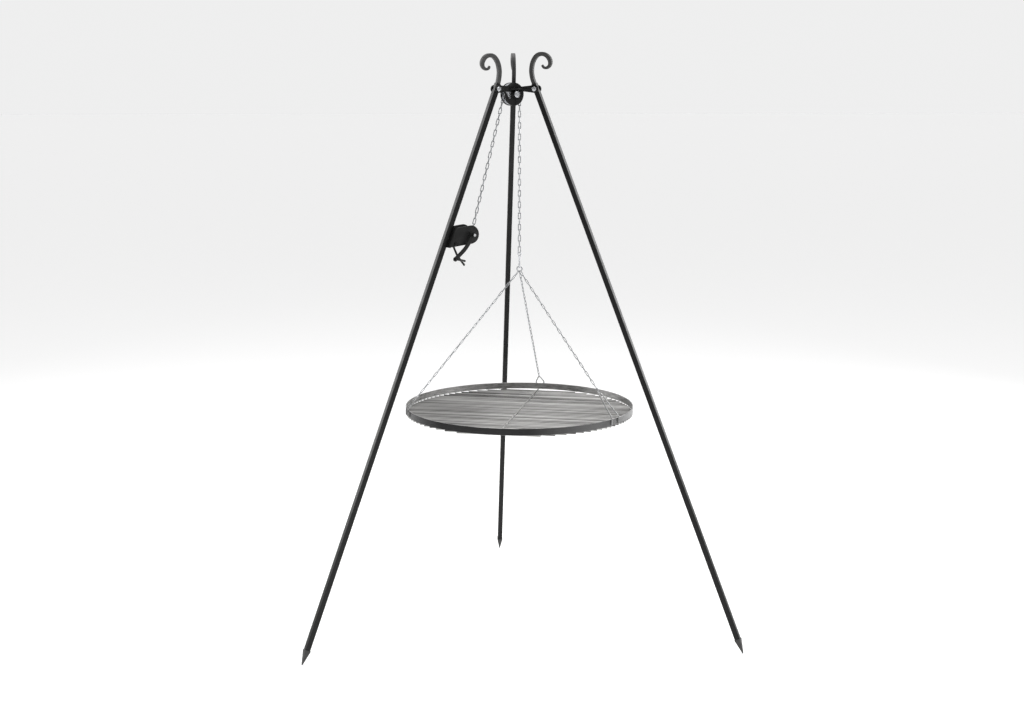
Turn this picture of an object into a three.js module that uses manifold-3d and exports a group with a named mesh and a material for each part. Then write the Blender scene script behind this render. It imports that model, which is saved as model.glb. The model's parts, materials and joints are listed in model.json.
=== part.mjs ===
// Campfire tripod with a chain winch and a round hanging grate.
// Millimetres, +Z up. The origin is the middle of the box round the three feet, on the ground.

import * as THREE from 'three';
import { mergeVertices } from 'three/addons/utils/BufferGeometryUtils.js';
import Module from 'manifold-3d';

const wasm = await Module();
wasm.setup();

// Driving dimensions: stand
const PIVOT_HEIGHT = 1690;
const PIVOT_RADIUS = 71;
const FOOT_RADIUS = 769;
const TUBE_SIZE = 16;
const TUBE_WALL = 1.5;
const TUBE_ABOVE_PIVOT = 17;
const STUB_LENGTH = 40;
const SPIKE_LENGTH = 46;
const SPIKE_WIDTH = 19;
const SPIKE_TIP = 3;
const SCROLL_TIP_SCALE = 0.5;
const SCROLL_TAPER_START = 0.45;
const SCROLL_ROOT_GAP = 3;

// Driving dimensions: hub and pulley
const PLATE_THICKNESS = 5;
const DISC_RADIUS = 34;
const EAR_THICKNESS = 4;
const EAR_HEIGHT = 24;
const EAR_ROOT_HEIGHT = 13;
const EAR_SIDE_GAP = 0.5;
const BOLT_DIAMETER = 8;
const BOLT_HEAD_WIDTH = 13;
const BOLT_HEAD_HEIGHT = 5.3;
const NUT_HEIGHT = 6.5;
const THREAD_END = 2;
const CHEEK_RADIUS = 35;
const WINDOW_WALL = 4;
const WINDOW_TOP = 8;
const WINDOW_BOTTOM = -14;
const WINDOW_FOOT = 9;
const PULLEY_OFFSET = 12;
const PULLEY_DROP = 16;
const PULLEY_PITCH_RADIUS = 28;
const PULLEY_FLANGE_HEIGHT = 5;
const PULLEY_FLANGE_THICKNESS = 1.5;
const PULLEY_SIDE_GAP = 1;
const AXLE_BOLT_DIAMETER = 10;
const AXLE_HEAD_DIAMETER = 20;
const AXLE_HEAD_HEIGHT = 18;

// Driving dimensions: chain
const CHAIN_RADIUS = 5.2;
const HANGER_CHAIN_RADIUS = 3.6;

// Driving dimensions: winch
const WINCH_DROP = 443.4;
const HOUSING_SHEET = 2.5;
const HOUSING_WIDTH = 49;
const HOUSING_RISE = THREE.MathUtils.degToRad(27.9);
const HOUSING_NOSE_RADIUS = 28;
const DRUM_REACH = 58.9;
const DRUM_CORE_RADIUS = 10.5;
const DRUM_FLANGE_RADIUS = 27.3;
const DRUM_FLANGE_THICKNESS = 2;
const DRUM_SIDE_GAP = 1;
const WINCH_AXLE_DIAMETER = 12;
const WINCH_BOLT_DIAMETER = 6;
const WINCH_BOLT_HEAD_WIDTH = 10;
const WINCH_BOLT_HEAD_HEIGHT = 4;
const WINCH_BOLT_SPACING = 24;
const WINCH_BOLT_REACH = 6;
const WINCH_AXLE_TAIL = 3;
const CRANK_ARM_PLANE = 35;
const CRANK_ARM_THICKNESS = 4;
const CRANK_ARM_WIDTH = 12;
const CRANK_LENGTH = 95;
const CRANK_ANGLE = 0.35;
const CRANK_BULGE = 6;
const CRANK_BOSS_RADIUS = 9;
const CRANK_TIP_RADIUS = 7;
const HANDLE_DIAMETER = 6.6;
const HANDLE_FRONT = 52;
const HANDLE_BACK = 5;
const CATCH_DIAMETER = 6.5;
const CATCH_PLANE = 8;
const CATCH_PIN_DIAMETER = 6;
const CATCH_EYE_RADIUS = 6.5;
const CATCH_INSET = 58;
const CATCH_EDGE_INSET = 8;
const CATCH_HEAD_DIAMETER = 10;
const CATCH_HEAD_HEIGHT = 3;

// Driving dimensions: snap hook and hangers
const SNAP_TOP = 1188;
const SNAP_WIRE_RADIUS = 2.2;
const SNAP_HALF_WIDTH = 9;
const SNAP_LENGTH = 34;
const GATE_WIRE_RADIUS = 1.8;
const GATE_HINGE_DROP = 10;
const GATE_NOSE_RISE = 11;
const GATE_NOSE_GAP = 2.6;
const HOOK_HEEL_RISE = 3.5;
const HOOK_SHOULDER_DROP = 1.8;
const HOOK_SHOULDER_SHARE = 0.66;
const HOOK_SIDE_DROP = 8;
const HOOK_BEND_RISE = 11;
const HOOK_TOE_RISE = 3;
const HOOK_TOE_SHARE = 0.72;
const SWIVEL_RING_RADIUS = 5;
const SWIVEL_WIRE_RADIUS = 1.8;
const SWIVEL_BUTTON_RADIUS = 3.2;
const SWIVEL_BUTTON_HEIGHT = 2;
const COLLAR_RADIUS = 4.6;
const COLLAR_HEIGHT = 5;
const HANGER_RING_RADIUS = 8;
const HANGER_WIRE_RADIUS = 2;
const BAIL_WIRE_RADIUS = 2;
const BAIL_BEND_RISE = 4;
const BAIL_WELD_LENGTH = 17;
const BAIL_FOOT_DROP = 2;
const BAIL_FOOT_BEND = 3;
const BAIL_FOOT_SHARE = 0.97;
const BAIL_MIDDLE_SHARE = 0.62;
const BAIL_TIP_SHARE = 0.3;
const BAIL_TIP_BEND = 5;

// Driving dimensions: grate
const GRATE_TOP = 702;
const GRATE_RADIUS = 360;
const RIM_HEIGHT = 20;
const RIM_THICKNESS = 3;
const ROD_DIAMETER = 6;
const ROD_PITCH = 18.5;
const ROD_END_INSET = 0.6;
const WELD_DEPTH = 0.7;
const CROSS_ROD_DIAMETER = 4;
const CROSS_ROD_END_GAP = 10;
const GRATE_TURN = THREE.MathUtils.degToRad(-15.2);

// Clearances between pieces
const GAP = 0.3;
const EPS = 1;

// Worked out from the driving dimensions
const LEAN = Math.atan((FOOT_RADIUS - PIVOT_RADIUS) / PIVOT_HEIGHT);
const LEG_LENGTH = (PIVOT_HEIGHT - (SPIKE_TIP / 2) * Math.sin(LEAN)) / Math.cos(LEAN);
const BAR_SIZE = TUBE_SIZE - 2 * TUBE_WALL - 2 * GAP;
const EAR_INNER = TUBE_SIZE / 2 + EAR_SIDE_GAP;
const EAR_OUTER = EAR_INNER + EAR_THICKNESS;
const PULLEY_FLANGE_RADIUS = PULLEY_PITCH_RADIUS + PULLEY_FLANGE_HEIGHT;
const GROOVE_RADIUS = PULLEY_PITCH_RADIUS - CHAIN_RADIUS - GAP;
const DRUM_PITCH_RADIUS = DRUM_CORE_RADIUS + GAP + CHAIN_RADIUS;
const HOUSING_INNER = HOUSING_WIDTH / 2 - HOUSING_SHEET;
const DRUM_HALF_WIDTH = HOUSING_INNER - DRUM_SIDE_GAP;
const CRANK_ARM_BACK = CRANK_ARM_PLANE - CRANK_ARM_THICKNESS / 2;
const CRANK_ARM_FRONT = CRANK_ARM_PLANE + CRANK_ARM_THICKNESS / 2;
const DEG = Math.PI / 180;

const LEGS = [
  { side: 'left', azimuth: 210 * DEG, headSide: 1, scrollTurn: 3.5 * DEG, scrollScale: 0.955 },
  { side: 'right', azimuth: 330 * DEG, headSide: -1, scrollTurn: 0, scrollScale: 1 },
  { side: 'rear', azimuth: 90 * DEG, headSide: -1, scrollTurn: 0, scrollScale: 0.97 },
];
const WINCH_LEG = LEGS[0];
const BAILS = [
  { side: 'rear', azimuth: 89.5 * DEG, length: 28, halfWidth: 13 },
  { side: 'left', azimuth: 206.5 * DEG, length: 52, halfWidth: 17 },
  { side: 'right', azimuth: 334.5 * DEG, length: 92, halfWidth: 19 },
];
// The rear foot reaches twice as far from the axis as the front pair, so the box middle lies behind it.
const AXIS_Y = -(FOOT_RADIUS - FOOT_RADIUS * Math.sin(30 * DEG)) / 2;

const FINISHES = {
  black: { color: 0x141414, roughness: 0.45, metalness: 0.3 },
  sheet: { color: 0x1b1b1b, roughness: 0.5, metalness: 0.3 },
  zinc: { color: 0xc9ccd0, roughness: 0.3, metalness: 0.9 },
  chain: { color: 0xb9bdc2, roughness: 0.35, metalness: 0.9 },
  steel: { color: 0x8d8f90, roughness: 0.42, metalness: 0.8 },
};

// Geometry helpers

function solidOf(geometry) {
  const bare = geometry.clone();
  bare.deleteAttribute('normal');
  bare.deleteAttribute('uv');
  const merged = mergeVertices(bare, 1e-4);
  const vertProperties = new Float32Array(merged.attributes.position.array);
  const triVerts = new Uint32Array(merged.index.array);
  return new wasm.Manifold(new wasm.Mesh({ numProp: 3, vertProperties, triVerts }));
}

function geometryOf(solid) {
  const mesh = solid.getMesh();
  const geometry = new THREE.BufferGeometry();
  geometry.setAttribute('position', new THREE.BufferAttribute(mesh.vertProperties, 3));
  geometry.setIndex(new THREE.BufferAttribute(mesh.triVerts, 1));
  geometry.computeVertexNormals();
  return geometry;
}

function join(first, ...others) {
  return geometryOf(others.reduce((sum, next) => sum.add(solidOf(next)), solidOf(first)));
}

function cut(base, ...tools) {
  return geometryOf(tools.reduce((rest, tool) => rest.subtract(solidOf(tool)), solidOf(base)));
}

function block(x, y, z) {
  return new THREE.BoxGeometry(x, y, z);
}

function roundBar(radius, from, to, sides = 16) {
  const bar = new THREE.CylinderGeometry(radius, radius, to - from, sides);
  return bar.rotateX(Math.PI / 2).translate(0, 0, (from + to) / 2);
}

function crossBar(radius, from, to, sides = 16) {
  return roundBar(radius, from, to, sides).rotateX(-Math.PI / 2);
}

function hexBar(width, from, to) {
  return crossBar(width / Math.sqrt(3), from, to, 6);
}

function uprightPlate(shape, from, to, curveSegments = 8) {
  const plate = new THREE.ExtrudeGeometry(shape, { depth: to - from, bevelEnabled: false, curveSegments });
  return plate.rotateX(Math.PI / 2).translate(0, to, 0);
}

function roundRod(curve, radius, steps, sides = 10) {
  const section = new THREE.Shape();
  for (let i = 0; i < sides; i += 1) {
    const angle = (2 * Math.PI * i) / sides;
    const x = radius * Math.cos(angle);
    const y = radius * Math.sin(angle);
    if (i === 0) section.moveTo(x, y);
    else section.lineTo(x, y);
  }
  section.closePath();
  return new THREE.ExtrudeGeometry(section, { steps, extrudePath: curve });
}

// Bends a bar that stands on Z from 0 to 1 along a curve in the XZ plane, scaled along the way.
function bentBar(bar, curve, scaleAt) {
  const bent = bar.clone();
  const place = bent.attributes.position;
  for (let i = 0; i < place.count; i += 1) {
    const t = THREE.MathUtils.clamp(place.getZ(i), 0, 1);
    const point = curve.getPointAt(t);
    const along = curve.getTangentAt(t);
    const across = place.getX(i) * scaleAt(t);
    place.setXYZ(i, point.x + along.z * across, place.getY(i) * scaleAt(t), point.z - along.x * across);
  }
  return bent;
}

function curveInXZ(points) {
  return new THREE.CatmullRomCurve3(points.map(([x, z]) => new THREE.Vector3(x, 0, z)));
}

function arcInXZ(centre, radius, from, to) {
  const arc = new THREE.Curve();
  arc.getPoint = (t) => {
    const angle = from + (to - from) * t;
    const x = centre.x + radius * Math.cos(angle);
    return new THREE.Vector3(x, 0, centre.y + radius * Math.sin(angle));
  };
  return arc;
}

// A ring turned about Z: a profile of [radius, height] points that closes on itself.
function turnedRing(profile, segments) {
  const points = [...profile, profile[0]].map(([r, z]) => new THREE.Vector2(r, z));
  return new THREE.LatheGeometry(points, segments).rotateX(Math.PI / 2);
}

function part(group, name, geometry, finish) {
  const mesh = new THREE.Mesh(geometry, new THREE.MeshStandardMaterial(FINISHES[finish]));
  mesh.name = name;
  group.add(mesh);
  return mesh;
}

// Hub: a star plate with clevis ears, and two round cheeks for the pulley

function earPlate(from, to) {
  const shape = new THREE.Shape();
  const half = EAR_HEIGHT / 2;
  const root = DISC_RADIUS - half;
  const rootHalf = EAR_ROOT_HEIGHT / 2;
  shape.moveTo(root, rootHalf);
  shape.lineTo(root, -rootHalf);
  shape.lineTo(PIVOT_RADIUS, -half);
  shape.absarc(PIVOT_RADIUS, 0, half, -Math.PI / 2, Math.PI / 2, false);
  shape.closePath();
  const hole = crossBar(BOLT_DIAMETER / 2 + GAP, from - EPS, to + EPS, 12).translate(PIVOT_RADIUS, 0, 0);
  return cut(uprightPlate(shape, from, to), hole);
}

// The arm's end is the stop that the spread leg leans on.
function starArm() {
  const top = PLATE_THICKNESS / 2;
  const stop = PIVOT_RADIUS - (TUBE_SIZE / 2 + GAP + top * Math.sin(LEAN)) / Math.cos(LEAN);
  return block(stop, 2 * EAR_OUTER, PLATE_THICKNESS).translate(stop / 2, 0, 0);
}

function cheekWindow(from, to) {
  const shape = new THREE.Shape();
  const inner = AXLE_BOLT_DIAMETER / 2 + WINDOW_WALL;
  shape.moveTo(inner, WINDOW_TOP);
  shape.lineTo(inner, WINDOW_BOTTOM);
  shape.lineTo(inner + WINDOW_FOOT, WINDOW_BOTTOM);
  shape.lineTo(CHEEK_RADIUS - WINDOW_WALL, WINDOW_TOP);
  shape.closePath();
  return uprightPlate(shape, from, to).translate(PULLEY_OFFSET, 0, -PULLEY_DROP);
}

function cheek(from, to) {
  const disc = crossBar(CHEEK_RADIUS, from, to, 28).translate(PULLEY_OFFSET, 0, -PULLEY_DROP);
  const hole = crossBar(AXLE_BOLT_DIAMETER / 2 + GAP, from - EPS, to + EPS, 12);
  hole.translate(PULLEY_OFFSET, 0, -PULLEY_DROP);
  return cut(disc, hole, cheekWindow(from - EPS, to + EPS));
}

function pulleySlot() {
  const reach = PULLEY_FLANGE_RADIUS + PULLEY_SIDE_GAP;
  const slot = block(2 * reach, 2 * EAR_INNER, PLATE_THICKNESS + 2 * EPS);
  return slot.translate(PULLEY_OFFSET, 0, 0);
}

function hubGeometry() {
  const disc = roundBar(DISC_RADIUS, -PLATE_THICKNESS / 2, PLATE_THICKNESS / 2, 24);
  let plate = disc;
  for (const leg of LEGS) plate = join(plate, starArm().rotateZ(leg.azimuth));
  plate = cut(plate, pulleySlot().rotateZ(WINCH_LEG.azimuth));
  for (const leg of LEGS) {
    const ears = [earPlate(EAR_INNER, EAR_OUTER), earPlate(-EAR_OUTER, -EAR_INNER)];
    for (const ear of ears) plate = join(plate, ear.rotateZ(leg.azimuth));
  }
  const cheeks = [cheek(EAR_INNER, EAR_OUTER), cheek(-EAR_OUTER, -EAR_INNER)];
  for (const side of cheeks) plate = join(plate, side.rotateZ(WINCH_LEG.azimuth));
  return plate;
}

function pulleyGeometry() {
  const half = EAR_INNER - PULLEY_SIDE_GAP;
  const groove = half - PULLEY_FLANGE_THICKNESS;
  const bore = AXLE_BOLT_DIAMETER / 2 + GAP;
  const ring = turnedRing([
    [bore, -half],
    [PULLEY_FLANGE_RADIUS, -half],
    [PULLEY_FLANGE_RADIUS, -half + 0.5],
    [GROOVE_RADIUS, -groove],
    [GROOVE_RADIUS, groove],
    [PULLEY_FLANGE_RADIUS, half - 0.5],
    [PULLEY_FLANGE_RADIUS, half],
    [bore, half],
  ], 24);
  return ring.rotateX(Math.PI / 2);
}

function headedBolt(diameter, head, headHeight, from, to) {
  const shank = crossBar(diameter / 2, from, to - headHeight + EPS, 12);
  return join(shank, hexBar(head, to - headHeight, to));
}

function hexNut(width, thread, from, to) {
  return cut(hexBar(width, from, to), crossBar(thread / 2 + GAP, from - EPS, to + EPS, 12));
}

function addHub(stand) {
  const hub = new THREE.Group();
  hub.position.z = PIVOT_HEIGHT;
  stand.add(hub);
  part(hub, 'hub', hubGeometry(), 'black');

  const pulleyGroup = new THREE.Group();
  pulleyGroup.rotation.z = WINCH_LEG.azimuth;
  hub.add(pulleyGroup);
  const centre = new THREE.Group();
  centre.position.set(PULLEY_OFFSET, 0, -PULLEY_DROP);
  pulleyGroup.add(centre);
  part(centre, 'pulley', pulleyGeometry(), 'zinc');
  const nutEnd = EAR_OUTER + GAP + NUT_HEIGHT;
  const headEnd = EAR_OUTER + GAP + AXLE_HEAD_HEIGHT;
  const shank = crossBar(AXLE_BOLT_DIAMETER / 2, -nutEnd - THREAD_END, EAR_OUTER + GAP + EPS);
  const head = crossBar(AXLE_HEAD_DIAMETER / 2, EAR_OUTER + GAP, headEnd, 20);
  part(centre, 'pulley_axle', join(shank, head), 'zinc');
  const nut = hexNut(BOLT_HEAD_WIDTH + 4, AXLE_BOLT_DIAMETER, -nutEnd, -EAR_OUTER - GAP);
  part(centre, 'pulley_axle_nut', nut, 'zinc');

  for (const leg of LEGS) addPivotBolt(hub, leg);
}

function addPivotBolt(hub, leg) {
  const turn = new THREE.Group();
  turn.rotation.z = leg.azimuth;
  hub.add(turn);
  const place = new THREE.Group();
  place.position.x = PIVOT_RADIUS;
  if (leg.headSide < 0) place.rotation.z = Math.PI;
  turn.add(place);
  const seat = EAR_OUTER + GAP;
  const end = -seat - NUT_HEIGHT - THREAD_END;
  const bolt = headedBolt(BOLT_DIAMETER, BOLT_HEAD_WIDTH, BOLT_HEAD_HEIGHT, end, seat + BOLT_HEAD_HEIGHT);
  part(place, `pivot_bolt_${leg.side}`, bolt, 'zinc');
  const nut = hexNut(BOLT_HEAD_WIDTH, BOLT_DIAMETER, -seat - NUT_HEIGHT, -seat);
  part(place, `pivot_nut_${leg.side}`, nut, 'zinc');
}

// Legs: in each leg's own frame the pivot bolt is the origin, -Z runs down the leg and +X faces out

function legTube(leg) {
  const bottom = -(LEG_LENGTH - SPIKE_LENGTH - GAP);
  const length = TUBE_ABOVE_PIVOT - bottom;
  const middle = (TUBE_ABOVE_PIVOT + bottom) / 2;
  const inside = TUBE_SIZE - 2 * TUBE_WALL;
  const outer = block(TUBE_SIZE, TUBE_SIZE, length).translate(0, 0, middle);
  const inner = block(inside, inside, length + 2 * EPS).translate(0, 0, middle);
  const cuts = [inner, crossBar(BOLT_DIAMETER / 2 + GAP, -TUBE_SIZE, TUBE_SIZE)];
  if (leg === WINCH_LEG) {
    for (const height of winchBoltHeights()) {
      const hole = crossBar(WINCH_BOLT_DIAMETER / 2 + GAP, 0, TUBE_SIZE);
      cuts.push(hole.rotateZ(Math.PI / 2).translate(0, 0, height));
    }
  }
  return cut(outer, ...cuts);
}

// From the tube's mouth the forged bar leans in, sweeps up and curls back over the leg.
function scrollCurve(leg) {
  const up = (height) => [-height * Math.sin(LEAN), height * Math.cos(LEAN)];
  const swept = [
    [-13.5, 36],
    [-16, 58],
    [-11.5, 82],
    [1, 100.5],
    [18, 106.5],
    [35, 101.5],
    [46.5, 87],
    [46, 73],
    [36.5, 64.5],
    [25.5, 65.5],
    [20, 72.5],
  ];
  const across = leg.scrollScale * Math.cos(leg.scrollTurn);
  const tip = leg.scrollScale * Math.sin(leg.scrollTurn);
  const forged = swept.map(([x, z]) => [x * across + z * tip, z * across - x * tip]);
  const upright = [up(BOLT_DIAMETER / 2 + SCROLL_ROOT_GAP), up(TUBE_ABOVE_PIVOT), ...forged];
  const turned = upright.map(([x, z]) => [
    x * Math.cos(LEAN) + z * Math.sin(LEAN),
    -x * Math.sin(LEAN) + z * Math.cos(LEAN),
  ]);
  return curveInXZ(turned);
}

function scrollGeometry(leg) {
  const bar = new THREE.BoxGeometry(BAR_SIZE, BAR_SIZE, 1, 1, 1, 36).translate(0, 0, 0.5);
  const tapered = 1 - SCROLL_TAPER_START;
  const taper = (t) => 1 - (1 - SCROLL_TIP_SCALE) * Math.max(0, (t - SCROLL_TAPER_START) / tapered);
  return bentBar(bar, scrollCurve(leg), taper);
}

function spikeGeometry() {
  const corner = Math.SQRT1_2;
  const spike = new THREE.CylinderGeometry(SPIKE_WIDTH * corner, SPIKE_TIP * corner, SPIKE_LENGTH, 4);
  spike.rotateY(Math.PI / 4).rotateX(Math.PI / 2);
  const top = -(LEG_LENGTH - SPIKE_LENGTH);
  spike.translate(0, 0, top - SPIKE_LENGTH / 2);
  const stub = block(BAR_SIZE, BAR_SIZE, STUB_LENGTH + EPS);
  stub.translate(0, 0, top + (STUB_LENGTH - EPS) / 2);
  return join(spike, stub);
}

function addLeg(stand, leg) {
  const turn = new THREE.Group();
  turn.rotation.z = leg.azimuth;
  stand.add(turn);
  const pivot = new THREE.Group();
  pivot.position.set(PIVOT_RADIUS, 0, PIVOT_HEIGHT);
  pivot.rotation.y = -LEAN;
  turn.add(pivot);
  part(pivot, `leg_tube_${leg.side}`, legTube(leg), 'black');
  part(pivot, `leg_scroll_${leg.side}`, scrollGeometry(leg), 'black');
  part(pivot, `foot_spike_${leg.side}`, spikeGeometry(), 'black');
  return pivot;
}

// Winch: in its own frame +X faces the leg, +Y is the crank side, and the drum axle is the origin

// A place in the housing: so far along its arms from the drum axle, and so far above their middle.
function housingPlace(along, above) {
  return {
    x: along * Math.cos(HOUSING_RISE) + above * Math.sin(HOUSING_RISE),
    z: above * Math.cos(HOUSING_RISE) - along * Math.sin(HOUSING_RISE),
  };
}

// Where an edge of the arms meets the base.
function baseCorner(above) {
  return housingPlace((DRUM_REACH - above * Math.sin(HOUSING_RISE)) / Math.cos(HOUSING_RISE), above);
}

function boltHeights() {
  const middle = baseCorner(0).z;
  return [middle + WINCH_BOLT_SPACING / 2, middle - WINCH_BOLT_SPACING / 2];
}

function winchBoltHeights() {
  return boltHeights().map((height) => height - WINCH_DROP);
}

function catchPivot() {
  return housingPlace(CATCH_INSET, CATCH_EDGE_INSET - HOUSING_NOSE_RADIUS);
}

function housingGeometry() {
  const upper = baseCorner(HOUSING_NOSE_RADIUS);
  const lower = baseCorner(-HOUSING_NOSE_RADIUS);
  const noseTop = housingPlace(0, HOUSING_NOSE_RADIUS);
  const start = Math.PI / 2 - HOUSING_RISE;
  const shape = new THREE.Shape();
  shape.moveTo(upper.x, upper.z);
  shape.lineTo(noseTop.x, noseTop.z);
  shape.absarc(0, 0, HOUSING_NOSE_RADIUS, start, start + Math.PI, false);
  shape.lineTo(lower.x, lower.z);
  shape.closePath();
  const edge = HOUSING_WIDTH / 2;
  const base = block(HOUSING_SHEET, HOUSING_WIDTH, upper.z - lower.z);
  base.translate(DRUM_REACH - HOUSING_SHEET / 2, 0, (upper.z + lower.z) / 2);
  const near = uprightPlate(shape, HOUSING_INNER, edge);
  const far = uprightPlate(shape, -edge, -HOUSING_INNER);
  const axleHole = crossBar(WINCH_AXLE_DIAMETER / 2 + GAP, -edge - EPS, edge + EPS);
  const pin = catchPivot();
  const pinHole = crossBar(CATCH_PIN_DIAMETER / 2 + GAP, 0, edge + EPS).translate(pin.x, 0, pin.z);
  const boltHoles = boltHeights().map((height) => {
    const hole = crossBar(WINCH_BOLT_DIAMETER / 2 + GAP, -2 * HOUSING_SHEET, 2 * HOUSING_SHEET);
    return hole.rotateZ(Math.PI / 2).translate(DRUM_REACH, 0, height);
  });
  return cut(join(base, near, far), axleHole, pinHole, ...boltHoles);
}

function drumGeometry() {
  const bore = WINCH_AXLE_DIAMETER / 2 + GAP;
  const half = DRUM_HALF_WIDTH;
  const inner = half - DRUM_FLANGE_THICKNESS;
  const ring = turnedRing([
    [bore, -half],
    [DRUM_FLANGE_RADIUS, -half],
    [DRUM_FLANGE_RADIUS, -inner],
    [DRUM_CORE_RADIUS, -inner],
    [DRUM_CORE_RADIUS, inner],
    [DRUM_FLANGE_RADIUS, inner],
    [DRUM_FLANGE_RADIUS, half],
    [bore, half],
  ], 24);
  return ring.rotateX(Math.PI / 2);
}

function drumChainGeometry() {
  const half = DRUM_HALF_WIDTH - DRUM_FLANGE_THICKNESS - GAP;
  const inner = DRUM_CORE_RADIUS + GAP;
  const outer = inner + 2 * CHAIN_RADIUS;
  const ring = turnedRing([[inner, -half], [outer, -half], [outer, half], [inner, half]], 24);
  return ring.rotateX(Math.PI / 2);
}

function winchAxleGeometry() {
  const thread = BOLT_DIAMETER / 2;
  const shoulder = CRANK_ARM_BACK - GAP;
  const end = CRANK_ARM_FRONT + GAP + NUT_HEIGHT + THREAD_END;
  const body = crossBar(WINCH_AXLE_DIAMETER / 2, -HOUSING_WIDTH / 2 - WINCH_AXLE_TAIL, shoulder);
  return join(body, crossBar(thread, shoulder - EPS, end));
}

function crankEnd() {
  return { x: CRANK_LENGTH * Math.sin(CRANK_ANGLE), z: -CRANK_LENGTH * Math.cos(CRANK_ANGLE) };
}

function crankArmGeometry() {
  const end = crankEnd();
  const curve = curveInXZ([
    [0, 0],
    [end.x * 0.5 - CRANK_BULGE, end.z * 0.5 - CRANK_BULGE * 0.2],
    [end.x, end.z],
  ]);
  const bar = new THREE.BoxGeometry(CRANK_ARM_WIDTH, CRANK_ARM_THICKNESS, 1, 1, 1, 12);
  const arm = bentBar(bar.translate(0, 0, 0.5), curve, () => 1);
  arm.translate(0, CRANK_ARM_PLANE, 0);
  const back = CRANK_ARM_BACK;
  const front = CRANK_ARM_FRONT;
  const boss = crossBar(CRANK_BOSS_RADIUS, back, front, 24);
  const tip = crossBar(CRANK_TIP_RADIUS, back, front, 20).translate(end.x, 0, end.z);
  const boltHole = crossBar(BOLT_DIAMETER / 2 + GAP, back - EPS, front + EPS);
  const handleHole = crossBar(HANDLE_DIAMETER / 2 + GAP, back - EPS, front + EPS);
  return cut(join(arm, boss, tip), boltHole, handleHole.translate(end.x, 0, end.z));
}

function catchGeometry() {
  const pin = catchPivot();
  const curve = curveInXZ([
    [pin.x - 2, pin.z - 3],
    [pin.x - 9, pin.z - 11],
    [pin.x - 20, pin.z - 21],
    [pin.x - 31, pin.z - 30],
    [pin.x - 64, pin.z - 48],
  ]);
  const eye = crossBar(CATCH_EYE_RADIUS, -CATCH_DIAMETER / 2, CATCH_DIAMETER / 2, 16);
  const hole = crossBar(CATCH_PIN_DIAMETER / 2 + GAP, -CATCH_DIAMETER, CATCH_DIAMETER);
  const rod = roundRod(curve, CATCH_DIAMETER / 2, 12, 8);
  return cut(join(eye.translate(pin.x, 0, pin.z), rod), hole.translate(pin.x, 0, pin.z));
}

function addWinch(legPivot) {
  const winch = new THREE.Group();
  winch.position.set(-(TUBE_SIZE / 2 + GAP + DRUM_REACH), 0, -WINCH_DROP);
  legPivot.add(winch);
  part(winch, 'winch_housing', housingGeometry(), 'sheet');
  part(winch, 'winch_drum', drumGeometry(), 'black');
  part(winch, 'drum_chain', drumChainGeometry(), 'chain');
  part(winch, 'winch_axle', winchAxleGeometry(), 'zinc');
  part(winch, 'crank_arm', crankArmGeometry(), 'sheet');
  const nutSeat = CRANK_ARM_FRONT + GAP;
  const crankNut = hexNut(BOLT_HEAD_WIDTH, BOLT_DIAMETER, nutSeat, nutSeat + NUT_HEIGHT);
  part(winch, 'crank_nut', crankNut, 'zinc');
  const end = crankEnd();
  const handle = crossBar(HANDLE_DIAMETER / 2, CRANK_ARM_BACK - HANDLE_BACK, CRANK_ARM_FRONT + HANDLE_FRONT);
  part(winch, 'crank_handle', handle, 'black').position.set(end.x, 0, end.z);

  const catchGroup = new THREE.Group();
  catchGroup.position.y = CATCH_PLANE;
  winch.add(catchGroup);
  part(catchGroup, 'crank_catch', catchGeometry(), 'black');
  const pin = catchPivot();
  const inner = -CATCH_DIAMETER / 2 - THREAD_END;
  const outer = HOUSING_WIDTH / 2 + GAP - CATCH_PLANE;
  const shank = crossBar(CATCH_PIN_DIAMETER / 2, inner, outer + EPS);
  const head = crossBar(CATCH_HEAD_DIAMETER / 2, outer, outer + CATCH_HEAD_HEIGHT);
  part(catchGroup, 'catch_pin', join(shank, head), 'zinc').position.set(pin.x, 0, pin.z);

  const seat = DRUM_REACH - HOUSING_SHEET - GAP;
  const tip = DRUM_REACH + GAP + TUBE_WALL + WINCH_BOLT_REACH;
  boltHeights().forEach((height, i) => {
    const shaft = crossBar(WINCH_BOLT_DIAMETER / 2, seat - EPS, tip);
    const cap = hexBar(WINCH_BOLT_HEAD_WIDTH, seat - WINCH_BOLT_HEAD_HEIGHT, seat);
    const bolt = join(shaft, cap).rotateZ(-Math.PI / 2).translate(0, 0, height);
    part(winch, `winch_bolt_${['upper', 'lower'][i]}`, bolt, 'zinc');
  });
}

// Main chain: drum to pulley, over the pulley, and straight down to the snap hook

function pulleyCentre() {
  return new THREE.Vector2(PULLEY_OFFSET, PIVOT_HEIGHT - PULLEY_DROP);
}

function drumCentre() {
  const inward = -(TUBE_SIZE / 2 + GAP + DRUM_REACH);
  return new THREE.Vector2(
    PIVOT_RADIUS + inward * Math.cos(LEAN) + WINCH_DROP * Math.sin(LEAN),
    PIVOT_HEIGHT + inward * Math.sin(LEAN) - WINCH_DROP * Math.cos(LEAN),
  );
}

// The straight run touches the pulley on its outer side and the drum on its inner side.
function runNormal() {
  const apart = drumCentre().sub(pulleyCentre());
  const along = (PULLEY_PITCH_RADIUS + DRUM_PITCH_RADIUS) / apart.length();
  const ahead = apart.clone().normalize();
  const side = new THREE.Vector2(-ahead.y, ahead.x);
  return ahead.multiplyScalar(along).add(side.multiplyScalar(Math.sqrt(1 - along * along)));
}

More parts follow.
